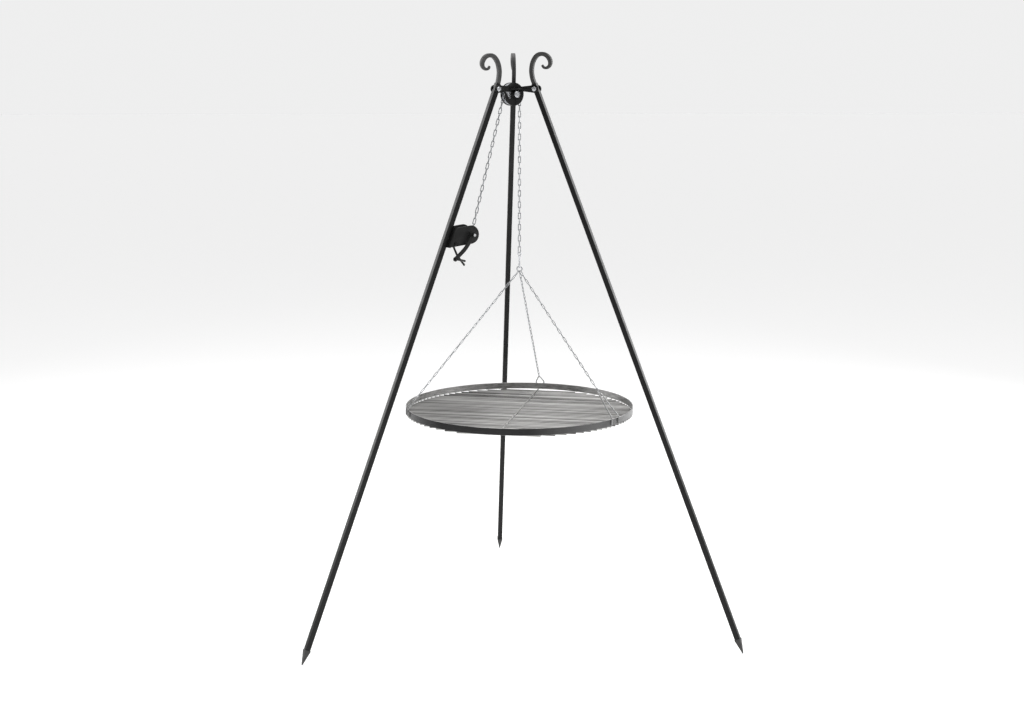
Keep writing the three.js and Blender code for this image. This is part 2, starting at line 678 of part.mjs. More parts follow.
function addMainChain(stand) {
  const plane = new THREE.Group();
  plane.rotation.z = WINCH_LEG.azimuth;
  stand.add(plane);
  const normal = runNormal();
  const top = pulleyCentre().addScaledVector(normal, PULLEY_PITCH_RADIUS);
  const bottom = drumCentre().addScaledVector(normal, -DRUM_PITCH_RADIUS);
  const down = bottom.clone().sub(top).normalize();
  const runTop = top.clone().addScaledVector(down, GAP);
  const coilOuter = DRUM_PITCH_RADIUS + CHAIN_RADIUS + GAP;
  const lift = Math.sqrt(coilOuter ** 2 - (DRUM_PITCH_RADIUS - CHAIN_RADIUS) ** 2);
  const runBottom = bottom.clone().addScaledVector(down, -lift);
  const run = new THREE.LineCurve3(
    new THREE.Vector3(runTop.x, 0, runTop.y),
    new THREE.Vector3(runBottom.x, 0, runBottom.y),
  );
  part(plane, 'chain_run', roundRod(run, CHAIN_RADIUS, 1, 8), 'chain');

  const centre = pulleyCentre();
  const bend = arcInXZ(centre, PULLEY_PITCH_RADIUS, Math.atan2(normal.y, normal.x), Math.PI);
  part(plane, 'chain_over_pulley', roundRod(bend, CHAIN_RADIUS, 16, 8), 'chain');

  const fall = roundBar(CHAIN_RADIUS, SNAP_TOP + GAP, centre.y - GAP, 8);
  fall.translate(centre.x - PULLEY_PITCH_RADIUS, 0, 0);
  part(plane, 'chain_fall', fall, 'chain');
}

function fallPlace() {
  const reach = PULLEY_OFFSET - PULLEY_PITCH_RADIUS;
  return new THREE.Vector2(
    reach * Math.cos(WINCH_LEG.azimuth),
    reach * Math.sin(WINCH_LEG.azimuth),
  );
}

// Swivel, snap hook and gate, in the YZ plane under the fall, with the hook's top at the origin

const COLLAR_TOP = -(2 * (SWIVEL_RING_RADIUS + SWIVEL_WIRE_RADIUS) + GAP);
const HOOK_TOP = COLLAR_TOP - COLLAR_HEIGHT / 2;
const HOOK_BOTTOM = HOOK_TOP - SNAP_LENGTH;
const GATE_HINGE = HOOK_TOP - GATE_HINGE_DROP;
const GATE_END = HOOK_BOTTOM + GATE_NOSE_RISE;

function swivelEyeGeometry() {
  const ring = new THREE.TorusGeometry(SWIVEL_RING_RADIUS, SWIVEL_WIRE_RADIUS, 8, 16);
  const middle = -(SWIVEL_RING_RADIUS + SWIVEL_WIRE_RADIUS);
  ring.rotateX(Math.PI / 2).translate(0, 0, middle);
  const stemTop = 2 * middle + SWIVEL_WIRE_RADIUS;
  const button = COLLAR_TOP - COLLAR_HEIGHT - GAP;
  const stem = roundBar(SWIVEL_WIRE_RADIUS, button - EPS, stemTop, 12);
  return join(ring, stem, roundBar(SWIVEL_BUTTON_RADIUS, button - SWIVEL_BUTTON_HEIGHT, button, 16));
}

function snapHookGeometry() {
  const w = SNAP_HALF_WIDTH;
  const shoulder = w * HOOK_SHOULDER_SHARE;
  const toe = w * HOOK_TOE_SHARE;
  const curve = curveInXZ([
    [-w, GATE_HINGE + HOOK_HEEL_RISE],
    [-shoulder, HOOK_TOP - HOOK_SHOULDER_DROP],
    [0, HOOK_TOP],
    [shoulder, HOOK_TOP - HOOK_SHOULDER_DROP],
    [w, HOOK_TOP - HOOK_SIDE_DROP],
    [w, HOOK_BOTTOM + HOOK_BEND_RISE],
    [toe, HOOK_BOTTOM + HOOK_TOE_RISE],
    [0, HOOK_BOTTOM],
    [-toe, HOOK_BOTTOM + HOOK_TOE_RISE],
    [-w, GATE_END - GATE_NOSE_GAP],
  ]);
  const loop = roundRod(curve, SNAP_WIRE_RADIUS, 30, 8);
  const collar = roundBar(COLLAR_RADIUS, COLLAR_TOP - COLLAR_HEIGHT, COLLAR_TOP, 14);
  const bore = roundBar(SWIVEL_WIRE_RADIUS + GAP, COLLAR_TOP - COLLAR_HEIGHT - EPS, COLLAR_TOP + EPS, 12);
  return cut(join(loop, collar), bore).rotateZ(Math.PI / 2);
}

function gateGeometry() {
  const gate = roundBar(GATE_WIRE_RADIUS, GATE_END, GATE_HINGE, 12);
  return gate.translate(-SNAP_HALF_WIDTH, 0, 0).rotateZ(Math.PI / 2);
}

function ringCentreHeight() {
  const rest = SNAP_WIRE_RADIUS + GAP + HANGER_WIRE_RADIUS;
  return HOOK_BOTTOM + rest - HANGER_RING_RADIUS;
}

function addSnapHook(fall) {
  part(fall, 'swivel_eye', swivelEyeGeometry(), 'zinc');
  part(fall, 'snap_hook', snapHookGeometry(), 'zinc');
  part(fall, 'snap_gate', gateGeometry(), 'zinc');
  const ring = new THREE.TorusGeometry(HANGER_RING_RADIUS, HANGER_WIRE_RADIUS, 8, 20);
  ring.rotateX(Math.PI / 2).translate(0, 0, ringCentreHeight());
  part(fall, 'hanger_ring', ring, 'chain');
}

// Grate and its three hangers, in the grate's own frame: the rods run along X

const BAIL_FOOT_RADIUS = GRATE_RADIUS + BAIL_WIRE_RADIUS + GAP;
const BAIL_BEND_HEIGHT = GRATE_TOP + BAIL_BEND_RISE;
const HANGER_START = new THREE.Vector2(
  HANGER_CHAIN_RADIUS * 1.5,
  SNAP_TOP + ringCentreHeight() - HANGER_RING_RADIUS - HANGER_WIRE_RADIUS - HANGER_CHAIN_RADIUS,
);

function hangerDirection() {
  const foot = new THREE.Vector2(BAIL_FOOT_RADIUS, BAIL_BEND_HEIGHT);
  return foot.sub(HANGER_START).normalize();
}

function bailGeometry(bail) {
  const along = hangerDirection();
  const back = (distance, side) => new THREE.Vector3(
    BAIL_FOOT_RADIUS - along.x * distance,
    side,
    BAIL_BEND_HEIGHT - along.y * distance,
  );
  const foot = (side) => [
    new THREE.Vector3(BAIL_FOOT_RADIUS, side, GRATE_TOP - BAIL_WELD_LENGTH),
    new THREE.Vector3(BAIL_FOOT_RADIUS, side, GRATE_TOP - BAIL_FOOT_DROP),
  ];
  const w = bail.halfWidth;
  const points = [
    ...foot(-w),
    back(BAIL_FOOT_BEND, -w * BAIL_FOOT_SHARE),
    back(bail.length / 2, -w * BAIL_MIDDLE_SHARE),
    back(bail.length - BAIL_TIP_BEND, -w * BAIL_TIP_SHARE),
    back(bail.length, 0),
    back(bail.length - BAIL_TIP_BEND, w * BAIL_TIP_SHARE),
    back(bail.length / 2, w * BAIL_MIDDLE_SHARE),
    back(BAIL_FOOT_BEND, w * BAIL_FOOT_SHARE),
    ...foot(w).reverse(),
  ];
  const curve = new THREE.CatmullRomCurve3(points);
  return roundRod(curve, BAIL_WIRE_RADIUS, 32, 6);
}

function hangerChainGeometry(bail) {
  const along = hangerDirection();
  const reach = bail.length + BAIL_WIRE_RADIUS + 2 * GAP;
  const end = new THREE.Vector3(
    BAIL_FOOT_RADIUS - along.x * reach,
    0,
    BAIL_BEND_HEIGHT - along.y * reach,
  );
  const start = new THREE.Vector3(HANGER_START.x, 0, HANGER_START.y);
  return roundRod(new THREE.LineCurve3(start, end), HANGER_CHAIN_RADIUS, 1, 8);
}

function rimGeometry() {
  const inner = GRATE_RADIUS - RIM_THICKNESS;
  const bottom = GRATE_TOP - RIM_HEIGHT;
  return turnedRing([
    [inner, bottom],
    [GRATE_RADIUS, bottom],
    [GRATE_RADIUS, GRATE_TOP],
    [inner, GRATE_TOP],
  ], 72);
}

function rodsGeometry() {
  const radius = ROD_DIAMETER / 2;
  const reach = GRATE_RADIUS - ROD_END_INSET;
  const height = GRATE_TOP - RIM_HEIGHT - GAP - radius;
  const crossRadius = CROSS_ROD_DIAMETER / 2;
  const crossHeight = height + radius - WELD_DEPTH + crossRadius;
  const crossReach = GRATE_RADIUS - RIM_THICKNESS - CROSS_ROD_END_GAP;
  const cross = crossBar(crossRadius, -crossReach, crossReach, 8);
  cross.translate(0, 0, crossHeight);
  const perSide = Math.floor((reach - ROD_PITCH / 2) / ROD_PITCH);
  const bars = [];
  for (let i = -perSide; i <= perSide; i += 1) {
    const offset = i * ROD_PITCH;
    const half = Math.sqrt(reach * reach - (Math.abs(offset) + radius) ** 2);
    const bar = crossBar(radius, -half, half, 8).rotateZ(Math.PI / 2);
    bars.push(bar.translate(0, offset, height));
  }
  return join(cross, ...bars);
}

function addGrate(fall) {
  const grate = new THREE.Group();
  grate.rotation.z = GRATE_TURN;
  fall.add(grate);
  const level = new THREE.Group();
  level.position.z = -SNAP_TOP;
  grate.add(level);
  part(level, 'grate_rim', rimGeometry(), 'steel');
  part(level, 'grate_rods', rodsGeometry(), 'steel');
  for (const bail of BAILS) {
    const turn = new THREE.Group();
    turn.rotation.z = bail.azimuth;
    level.add(turn);
    part(turn, `bail_${bail.side}`, bailGeometry(bail), 'steel');
    part(turn, `hanger_chain_${bail.side}`, hangerChainGeometry(bail), 'chain');
  }
}

// The whole stand

function buildTripod() {
  const tripod = new THREE.Group();
  const stand = new THREE.Group();
  stand.position.y = AXIS_Y;
  tripod.add(stand);
  addHub(stand);
  for (const leg of LEGS) {
    const pivot = addLeg(stand, leg);
    if (leg === WINCH_LEG) addWinch(pivot);
  }
  addMainChain(stand);
  const fall = new THREE.Group();
  const place = fallPlace();
  fall.position.set(place.x, place.y, SNAP_TOP);
  stand.add(fall);
  addSnapHook(fall);
  addGrate(fall);
  return tripod;
}

export default buildTripod();
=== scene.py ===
import json
import math
import random

import bmesh
import bpy
from mathutils import Matrix, Vector


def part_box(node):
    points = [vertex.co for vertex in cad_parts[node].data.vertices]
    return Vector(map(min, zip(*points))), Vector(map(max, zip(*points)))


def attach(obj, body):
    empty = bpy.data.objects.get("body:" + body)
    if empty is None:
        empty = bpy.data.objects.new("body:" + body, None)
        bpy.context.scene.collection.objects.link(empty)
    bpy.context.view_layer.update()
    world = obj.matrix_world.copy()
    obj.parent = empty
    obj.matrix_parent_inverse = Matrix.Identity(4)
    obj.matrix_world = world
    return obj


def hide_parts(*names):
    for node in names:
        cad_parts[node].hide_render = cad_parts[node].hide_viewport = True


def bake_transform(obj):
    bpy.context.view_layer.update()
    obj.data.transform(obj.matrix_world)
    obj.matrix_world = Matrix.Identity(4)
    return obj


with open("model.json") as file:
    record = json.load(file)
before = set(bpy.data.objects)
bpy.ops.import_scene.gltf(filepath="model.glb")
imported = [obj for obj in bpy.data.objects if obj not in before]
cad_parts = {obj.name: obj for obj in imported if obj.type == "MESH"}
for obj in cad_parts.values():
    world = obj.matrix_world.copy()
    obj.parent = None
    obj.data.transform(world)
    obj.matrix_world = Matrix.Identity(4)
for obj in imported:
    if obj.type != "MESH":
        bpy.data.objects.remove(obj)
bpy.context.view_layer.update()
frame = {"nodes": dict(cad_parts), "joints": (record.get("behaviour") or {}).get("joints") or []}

MM = 0.001
joints = {joint["name"]: joint for joint in frame["joints"]}
nodes = frame["nodes"]


def joint_place(name):
    return Vector(joints[name]["pos_m"])


SIDES = ("left", "right", "rear")
PIVOTS = {side: joint_place(f"leg_{side}_spread") for side in SIDES}
STAND_AXIS = sum(PIVOTS.values(), Vector()) / len(SIDES)
AZIMUTHS = {
    side: math.atan2(place.y - STAND_AXIS.y, place.x - STAND_AXIS.x)
    for side, place in PIVOTS.items()
}
PIVOT_RADIUS = (PIVOTS["rear"] - STAND_AXIS).length
PULLEY_CENTRE = joint_place("pulley_turn")
DRUM_CENTRE = joint_place("crank_turn")
FALL_TOP = joint_place("chain_swing")
SWIVEL_PLACE = joint_place("grate_swivel")

# Sizes of the bought and bent pieces, in metres
TUBE_SIZE = 16 * MM
TUBE_CORNER = 1.6 * MM
EAR_GAP = 8.5 * MM
EAR_THICKNESS = 4 * MM
EAR_RADIUS = 12 * MM
STAR_THICKNESS = 5 * MM
DISC_RADIUS = 34 * MM
CHEEK_RADIUS = 35 * MM
CHEEK_CENTRE = (12 * MM, -16 * MM)
EAR_WAIST = 6.5 * MM
AXLE_BOLT_RADIUS = 5 * MM
BOLT_RADIUS = 4 * MM
FIT = 0.3 * MM
LINK_PITCH = 17.6 * MM
LINK_WIDTH = 10.4 * MM
LINK_WIRE = 3 * MM
HANGER_PITCH = 16 * MM
HANGER_WIDTH = 7.2 * MM
HANGER_WIRE = 2.2 * MM
GRATE_TURN = math.radians(-15.2)


# Placing

def turned_about_z(angle, place):
    return Matrix.Translation(place) @ Matrix.Rotation(angle, 4, "Z")


def leg_lean():
    low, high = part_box("leg_tube_rear")
    run = high.y - low.y
    rise = high.z - low.z
    lean = math.atan2(run, rise)
    for _ in range(8):
        width = TUBE_SIZE * math.cos(lean)
        drop = TUBE_SIZE * math.sin(lean)
        lean = math.atan2(run - width, rise - drop)
    return lean


LEAN = leg_lean()


def hub_frame(side):
    """+X runs along that leg's arm, from the stand's axis at bolt height."""
    return turned_about_z(AZIMUTHS[side], STAND_AXIS)


def drum_frame():
    """+X faces the leg, +Y is the crank side, and the drum's axle is the origin."""
    return turned_about_z(AZIMUTHS["left"], DRUM_CENTRE) @ Matrix.Rotation(-LEAN, 4, "Y")


def pulley_frame():
    return turned_about_z(AZIMUTHS["left"], PULLEY_CENTRE)


def grate_frame():
    place = Vector((FALL_TOP.x, FALL_TOP.y, 0))
    return turned_about_z(GRATE_TURN, place)


UPRIGHT = Matrix.Rotation(math.pi / 2, 4, "X")


# Making meshes

def shade(mesh, angle=math.radians(32)):
    mesh.shade_smooth()
    mesh.set_sharp_from_angle(angle=angle)


def piece(name, mesh, material, body, stands_for=()):
    mesh.name = name
    mesh.materials.clear()
    mesh.materials.append(material)
    obj = bpy.data.objects.new(name, mesh)
    bpy.context.scene.collection.objects.link(obj)
    if body:
        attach(obj, body)
    if stands_for:
        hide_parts(*stands_for)
    return obj


def from_bmesh(bm, matrix=None, smooth_angle=math.radians(32)):
    if matrix is not None:
        bmesh.ops.transform(bm, matrix=matrix, verts=bm.verts)
    mesh = bpy.data.meshes.new("mesh")
    bm.to_mesh(mesh)
    bm.free()
    shade(mesh, smooth_angle)
    return mesh


def mesh_of_curve(curve, matrix, weld=1e-6):
    """Turns a curve into a placed mesh with its doubles merged."""
    holder = bpy.data.objects.new("curve", curve)
    bpy.context.scene.collection.objects.link(holder)
    bpy.context.view_layer.update()
    evaluated = holder.evaluated_get(bpy.context.evaluated_depsgraph_get())
    mesh = bpy.data.meshes.new_from_object(evaluated)
    bpy.data.objects.remove(holder)
    bpy.data.curves.remove(curve)
    bm = bmesh.new()
    bm.from_mesh(mesh)
    bpy.data.meshes.remove(mesh)
    bmesh.ops.remove_doubles(bm, verts=bm.verts, dist=weld)
    bmesh.ops.recalc_face_normals(bm, faces=bm.faces)
    return from_bmesh(bm, matrix)


def arc(centre, radius, start, end, steps):
    """Points on an arc, in degrees, both ends included."""
    points = []
    for i in range(steps + 1):
        angle = math.radians(start + (end - start) * i / steps)
        points.append((centre[0] + radius * math.cos(angle), centre[1] + radius * math.sin(angle)))
    return points


def circle(centre, radius, steps=32):
    return arc(centre, radius, 0, 360 - 360 / steps, steps - 1)


def plate(outlines, thickness, matrix, edge=0.35 * MM):
    """A flat plate on the XY plane: the first outline is its edge and the others are holes."""
    curve = bpy.data.curves.new("plate", "CURVE")
    curve.dimensions = "2D"
    curve.fill_mode = "BOTH"
    curve.extrude = thickness / 2 - edge
    curve.bevel_depth = edge
    curve.bevel_resolution = 2
    curve.offset = -edge
    for outline in outlines:
        spline = curve.splines.new("POLY")
        spline.points.add(len(outline) - 1)
        for point, (x, y) in zip(spline.points, outline):
            point.co = (x, y, 0, 1)
        spline.use_cyclic_u = True
    return mesh_of_curve(curve, matrix)


def smooth_path(points, per_span=8, closed=False):
    """A Catmull-Rom path through the points."""
    count = len(points)
    path = []
    spans = count if closed else count - 1

    def at(i):
        if closed:
            return Vector(points[i % count])
        if i < 0:
            return 2 * Vector(points[0]) - Vector(points[1])
        if i >= count:
            return 2 * Vector(points[-1]) - Vector(points[-2])
        return Vector(points[i])

    for i in range(spans):
        a, b, c, d = at(i - 1), at(i), at(i + 1), at(i + 2)
        for step in range(per_span):
            t = step / per_span
            path.append(0.5 * ((2 * b) + (c - a) * t + (2 * a - 5 * b + 4 * c - d) * t * t
                               + (3 * b - a - 3 * c + d) * t ** 3))
    if not closed:
        path.append(Vector(points[-1]))
    return path


def swept(path, radius, matrix, closed=False, sides=4, widths=None, profile=None):
    """A rod along a path. With a profile curve, the path lies flat and the profile keeps upright."""
    curve = bpy.data.curves.new("sweep", "CURVE")
    curve.dimensions = "3D"
    curve.use_fill_caps = not closed
    curve.twist_mode = "Z_UP" if profile else "MINIMUM"
    if profile:
        curve.bevel_mode = "OBJECT"
        curve.bevel_object = profile
    else:
        curve.bevel_depth = radius
        curve.bevel_resolution = sides
    spline = curve.splines.new("POLY")
    spline.points.add(len(path) - 1)
    for i, (point, place) in enumerate(zip(spline.points, path)):
        point.co = (*place, 1)
        point.radius = widths(i / (len(path) - 1)) if widths else 1
    spline.use_cyclic_u = closed
    return mesh_of_curve(curve, matrix)


def lathe(profile, matrix, segments=64):
    """A solid or ring turned about Z from a closed profile of (radius, height) points."""
    bm = bmesh.new()
    verts = [bm.verts.new((r, 0, z)) for r, z in profile]
    edges = [bm.edges.new((a, b)) for a, b in zip(verts, verts[1:])]
    on_axis = profile[0][0] == 0 and profile[-1][0] == 0
    if not on_axis:
        edges.append(bm.edges.new((verts[-1], verts[0])))
    bmesh.ops.spin(bm, geom=verts + edges, angle=2 * math.pi, steps=segments, axis=(0, 0, 1),
                   cent=(0, 0, 0), use_merge=True)
    bmesh.ops.remove_doubles(bm, verts=bm.verts, dist=1e-6)
    bmesh.ops.recalc_face_normals(bm, faces=bm.faces)
    return from_bmesh(bm, matrix)


def joined(meshes):
    bm = bmesh.new()
    for mesh in meshes:
        bm.from_mesh(mesh)
        bpy.data.meshes.remove(mesh)
    return from_bmesh(bm)


def merged_copy(node, bevel, segments=3, longer_than=0, angle=math.radians(25)):
    """A CAD node's shape with its sharp edges rounded."""
    bm = bmesh.new()
    bm.from_mesh(nodes[node].data)
    bmesh.ops.remove_doubles(bm, verts=bm.verts, dist=1e-5)
    bmesh.ops.dissolve_limit(bm, angle_limit=math.radians(1), verts=bm.verts, edges=bm.edges)
    sharp = [
        e for e in bm.edges
        if e.is_manifold and e.calc_face_angle(0) > angle and e.calc_length() > longer_than
    ]
    bmesh.ops.bevel(bm, geom=sharp, offset=bevel, offset_type="OFFSET", affect="EDGES",
                    segments=segments, profile=0.5, material=-1, clamp_overlap=True)
    bmesh.ops.recalc_face_normals(bm, faces=bm.faces)
    return from_bmesh(bm)


def rounded_square(size, corner, steps=4):
    half = size / 2 - corner
    points = []
    for quarter, (x, y) in enumerate([(half, half), (-half, half), (-half, -half), (half, -half)]):
        points += arc((x, y), corner, 90 * quarter, 90 * quarter + 90, steps)
    return points


def profile_curve(points):
    curve = bpy.data.curves.new("profile", "CURVE")
    curve.dimensions = "2D"
    spline = curve.splines.new("POLY")
    spline.points.add(len(points) - 1)
    for point, (x, y) in zip(spline.points, points):
        point.co = (x, y, 0, 1)
    spline.use_cyclic_u = True
    holder = bpy.data.objects.new("profile", curve)
    bpy.context.scene.collection.objects.link(holder)
    return holder


# Materials

def new_material(name):
    material = bpy.data.materials.new(name)
    material.use_nodes = True
    tree = material.node_tree
    shader = tree.nodes["Principled BSDF"]
    place = tree.nodes.new("ShaderNodeTexCoord")
    return material, tree, shader, place.outputs["Object"]


def mapping(tree, source, scale=(1, 1, 1), rotation=(0, 0, 0)):
    node = tree.nodes.new("ShaderNodeMapping")
    node.inputs["Scale"].default_value = scale
    node.inputs["Rotation"].default_value = rotation
    tree.links.new(source, node.inputs["Vector"])
    return node.outputs["Vector"]


def noise(tree, source, scale, detail=3.0, roughness=0.5):
    node = tree.nodes.new("ShaderNodeTexNoise")
    node.inputs["Scale"].default_value = scale
    node.inputs["Detail"].default_value = detail
    node.inputs["Roughness"].default_value = roughness
    tree.links.new(source, node.inputs["Vector"])
    return node.outputs["Fac"]


def cells(tree, source, scale):
    node = tree.nodes.new("ShaderNodeTexVoronoi")
    node.inputs["Scale"].default_value = scale
    tree.links.new(source, node.inputs["Vector"])
    return node


def spread(tree, value, low, high, from_low=0.3, from_high=0.7):
    node = tree.nodes.new("ShaderNodeMapRange")
    node.inputs["From Min"].default_value = from_low
    node.inputs["From Max"].default_value = from_high
    node.inputs["To Min"].default_value = low
    node.inputs["To Max"].default_value = high
    tree.links.new(value, node.inputs["Value"])
    return node.outputs["Result"]


def ramp(tree, value, stops):
    node = tree.nodes.new("ShaderNodeValToRGB")
    while len(node.color_ramp.elements) < len(stops):
        node.color_ramp.elements.new(0.5)
    for element, (place, colour) in zip(node.color_ramp.elements, stops):
        element.position = place
        element.color = (*colour, 1)
    tree.links.new(value, node.inputs["Fac"])
    return node.outputs["Color"]


def bump(tree, shader, height, strength, distance, below=None):
    node = tree.nodes.new("ShaderNodeBump")
    node.inputs["Strength"].default_value = strength
    node.inputs["Distance"].default_value = distance
    tree.links.new(height, node.inputs["Height"])
    if below is not None:
        tree.links.new(below, node.inputs["Normal"])
    tree.links.new(node.outputs["Normal"], shader.inputs["Normal"])
    return node.outputs["Normal"]


def black_paint(name, shade_dark, shade_light, rough_low, rough_high, peel=0.12):
    """Satin black paint: fine orange peel, faint dust and slightly uneven gloss."""
    material, tree, shader, place = new_material(name)
    dust = noise(tree, place, 22, 5, 0.6)
    colour = ramp(tree, dust, [(0.3, (shade_dark,) * 3), (0.72, (shade_light,) * 3)])
    tree.links.new(colour, shader.inputs["Base Color"])
    gloss = noise(tree, place, 60, 3)
    tree.links.new(spread(tree, gloss, rough_low, rough_high), shader.inputs["Roughness"])
    shader.inputs["Specular IOR Level"].default_value = 0.24
    fine = noise(tree, place, 900, 2)
    bump(tree, shader, fine, peel, 0.2 * MM)
    return material


def forged_black(name):
    """Black forged bar: shallow hammer marks under the paint, with a little scale."""
    material, tree, shader, place = new_material(name)
    scale_marks = noise(tree, place, 90, 6, 0.65)
    colour = ramp(tree, scale_marks, [(0.3, (0.018,) * 3), (0.75, (0.048, 0.047, 0.046))])
    tree.links.new(colour, shader.inputs["Base Color"])
    tree.links.new(spread(tree, scale_marks, 0.42, 0.58), shader.inputs["Roughness"])
    hammer = cells(tree, place, 95).outputs["Distance"]
    low = bump(tree, shader, hammer, 0.35, 0.8 * MM)
    fine = noise(tree, place, 700, 3)
    bump(tree, shader, fine, 0.15, 0.25 * MM, below=low)
    return material


def zinc(name, dark, light, rough_low, rough_high, spangle):
    """Bright zinc plate: a soft grey metal with faint patches."""
    material, tree, shader, place = new_material(name)
    shader.inputs["Metallic"].default_value = 0.92
    patches = cells(tree, place, spangle).outputs["Color"]
    tone = tree.nodes.new("ShaderNodeSeparateColor")
    tree.links.new(patches, tone.inputs["Color"])
    blur = noise(tree, place, 160, 4)
    mix = tree.nodes.new("ShaderNodeMath")
    mix.operation = "MULTIPLY_ADD"
    mix.inputs[1].default_value = 0.35
    tree.links.new(tone.outputs["Red"], mix.inputs[0])
    tree.links.new(blur, mix.inputs[2])
    colour = ramp(tree, mix.outputs["Value"], [(0.35, dark), (0.9, light)])
    tree.links.new(colour, shader.inputs["Base Color"])
    tree.links.new(spread(tree, blur, rough_low, rough_high), shader.inputs["Roughness"])
    fine = noise(tree, place, 1200, 2)
    bump(tree, shader, fine, 0.08, 0.1 * MM)
    return material


def drawn_steel(name, grain_scale, grain_turn, dark, light, rough_low, rough_high, clouding):
    """Bare steel with a drawn grain along one direction, and a faint straw tint in places."""
    material, tree, shader, place = new_material(name)
    shader.inputs["Metallic"].default_value = 0.88
    turned = mapping(tree, place, rotation=(0, 0, -grain_turn))
    grain_place = mapping(tree, turned, grain_scale)
    grain = noise(tree, grain_place, 1, 4, 0.6)
    clouds = noise(tree, place, 9, 4, 0.55)
    mix = tree.nodes.new("ShaderNodeMath")
    mix.operation = "MULTIPLY_ADD"
    mix.inputs[1].default_value = clouding
    tree.links.new(clouds, mix.inputs[0])
    tree.links.new(grain, mix.inputs[2])
    colour = ramp(tree, mix.outputs["Value"], [(0.34 + clouding / 2, dark), (0.66 + clouding / 2, light)])
    tree.links.new(colour, shader.inputs["Base Color"])
    tree.links.new(spread(tree, grain, rough_low, rough_high), shader.inputs["Roughness"])
    bump(tree, shader, grain, 0.18, 0.12 * MM)
    return material


def paint_outer_light_gradient(material, centre, radius):
    """Paints the outer face of a ring darker, near black over its left half and lightening to grey towards
    its right side: a painted light gradient, lighter where the key light falls from the right.
    """
    tree = material.node_tree
    colour_in = tree.nodes["Principled BSDF"].inputs["Base Color"]
    bare = colour_in.links[0].from_socket
    place = tree.nodes.new("ShaderNodeTexCoord").outputs["Object"]
    offset = tree.nodes.new("ShaderNodeVectorMath")
    offset.operation = "SUBTRACT"
    offset.inputs[1].default_value = centre
    tree.links.new(place, offset.inputs[0])
    level = mapping(tree, offset.outputs["Vector"], (1, 1, 0))
    reach = tree.nodes.new("ShaderNodeVectorMath")
    reach.operation = "LENGTH"
    tree.links.new(level, reach.inputs[0])
    outside = spread(tree, reach.outputs["Value"], 0, 1, radius - 0.9 * MM, radius - 0.4 * MM)
    split = tree.nodes.new("ShaderNodeSeparateXYZ")
    tree.links.new(level, split.inputs["Vector"])
    across = spread(tree, split.outputs["X"], 0, 1, -radius, radius)
    # Painted light: near black up to the middle of the ring, lightening to grey at its right side where the
    # key light falls.
    scale = ramp(tree, across, [(0.5, (0.03,) * 3), (1.0, (0.2,) * 3)])
    mix = tree.nodes.new("ShaderNodeMix")
    mix.data_type = "RGBA"
    tree.links.new(outside, mix.inputs[0])
    tree.links.new(bare, mix.inputs[6])
    tree.links.new(scale, mix.inputs[7])
    tree.links.new(mix.outputs[2], colour_in)


PAINT = black_paint("satin_black_paint", 0.0035, 0.008, 0.24, 0.36)
SHEET_PAINT = black_paint("black_sheet_coat", 0.006, 0.013, 0.34, 0.46, 0.2)
FORGED = forged_black("forged_black")
ZINC = zinc("bright_zinc", (0.4, 0.41, 0.43), (0.72, 0.73, 0.75), 0.22, 0.36, 350)
CHAIN_ZINC = zinc("zinc_chain", (0.2, 0.205, 0.215), (0.52, 0.53, 0.54), 0.24, 0.38, 500)
# A darker copy of the chain zinc for the chain wound on the drum: painted shade for where it sits between
# the housing plates.
WOUND_ZINC_SHADED = zinc("zinc_chain_painted_shade", (0.06, 0.062, 0.065), (0.26, 0.265, 0.27), 0.3, 0.44, 500)
ROD_STEEL = drawn_steel(
    "rod_steel", (0.8, 54, 54), GRATE_TURN,
    (0.1, 0.098, 0.096), (0.5, 0.495, 0.485), 0.24, 0.4, 0.1,
)
RIM_STEEL = drawn_steel(
    "rim_steel", (40, 40, 900), GRATE_TURN,
    (0.16, 0.158, 0.155), (0.42, 0.416, 0.41), 0.24, 0.38, 0.4,
)
WIRE_STEEL = zinc("bail_wire", (0.16, 0.16, 0.16), (0.42, 0.42, 0.42), 0.26, 0.4, 400)


# Legs

def add_leg_tubes():
    for side in SIDES:
        node = f"leg_tube_{side}"
        mesh = merged_copy(node, TUBE_CORNER, 4, longer_than=0.2)
        piece(f"tube_{side}", mesh, PAINT, f"leg_{side}", [node])


def add_spikes():
    for side in SIDES:
        node = f"foot_spike_{side}"
        mesh = merged_copy(node, 0.8 * MM, 3)
        piece(f"spike_{side}", mesh, FORGED, f"leg_{side}", [node])


def scroll_path(turn, scale):
    """The forged bar's middle line in the upright plane of its leg, from the pivot: it leans in,
    sweeps up, and curls back out over the leg. Each one is bent by hand, so they differ a little."""
    root = [Vector((-h * math.sin(LEAN), h * math.cos(LEAN), 0)) for h in (7 * MM, 17 * MM)]
    sweep = [
        (-13.5, 36), (-16, 58), (-11.5, 82), (1, 100.5), (18, 106.5),
        (35, 101.5), (46.5, 87), (46, 73), (36.5, 64.5), (25.5, 65.5), (20, 72.5),
    ]
    bend = Matrix.Rotation(-turn, 4, "Z") @ Matrix.Scale(scale * MM, 4)
    return root + [bend @ Vector((x, z, 0)) for x, z in sweep]


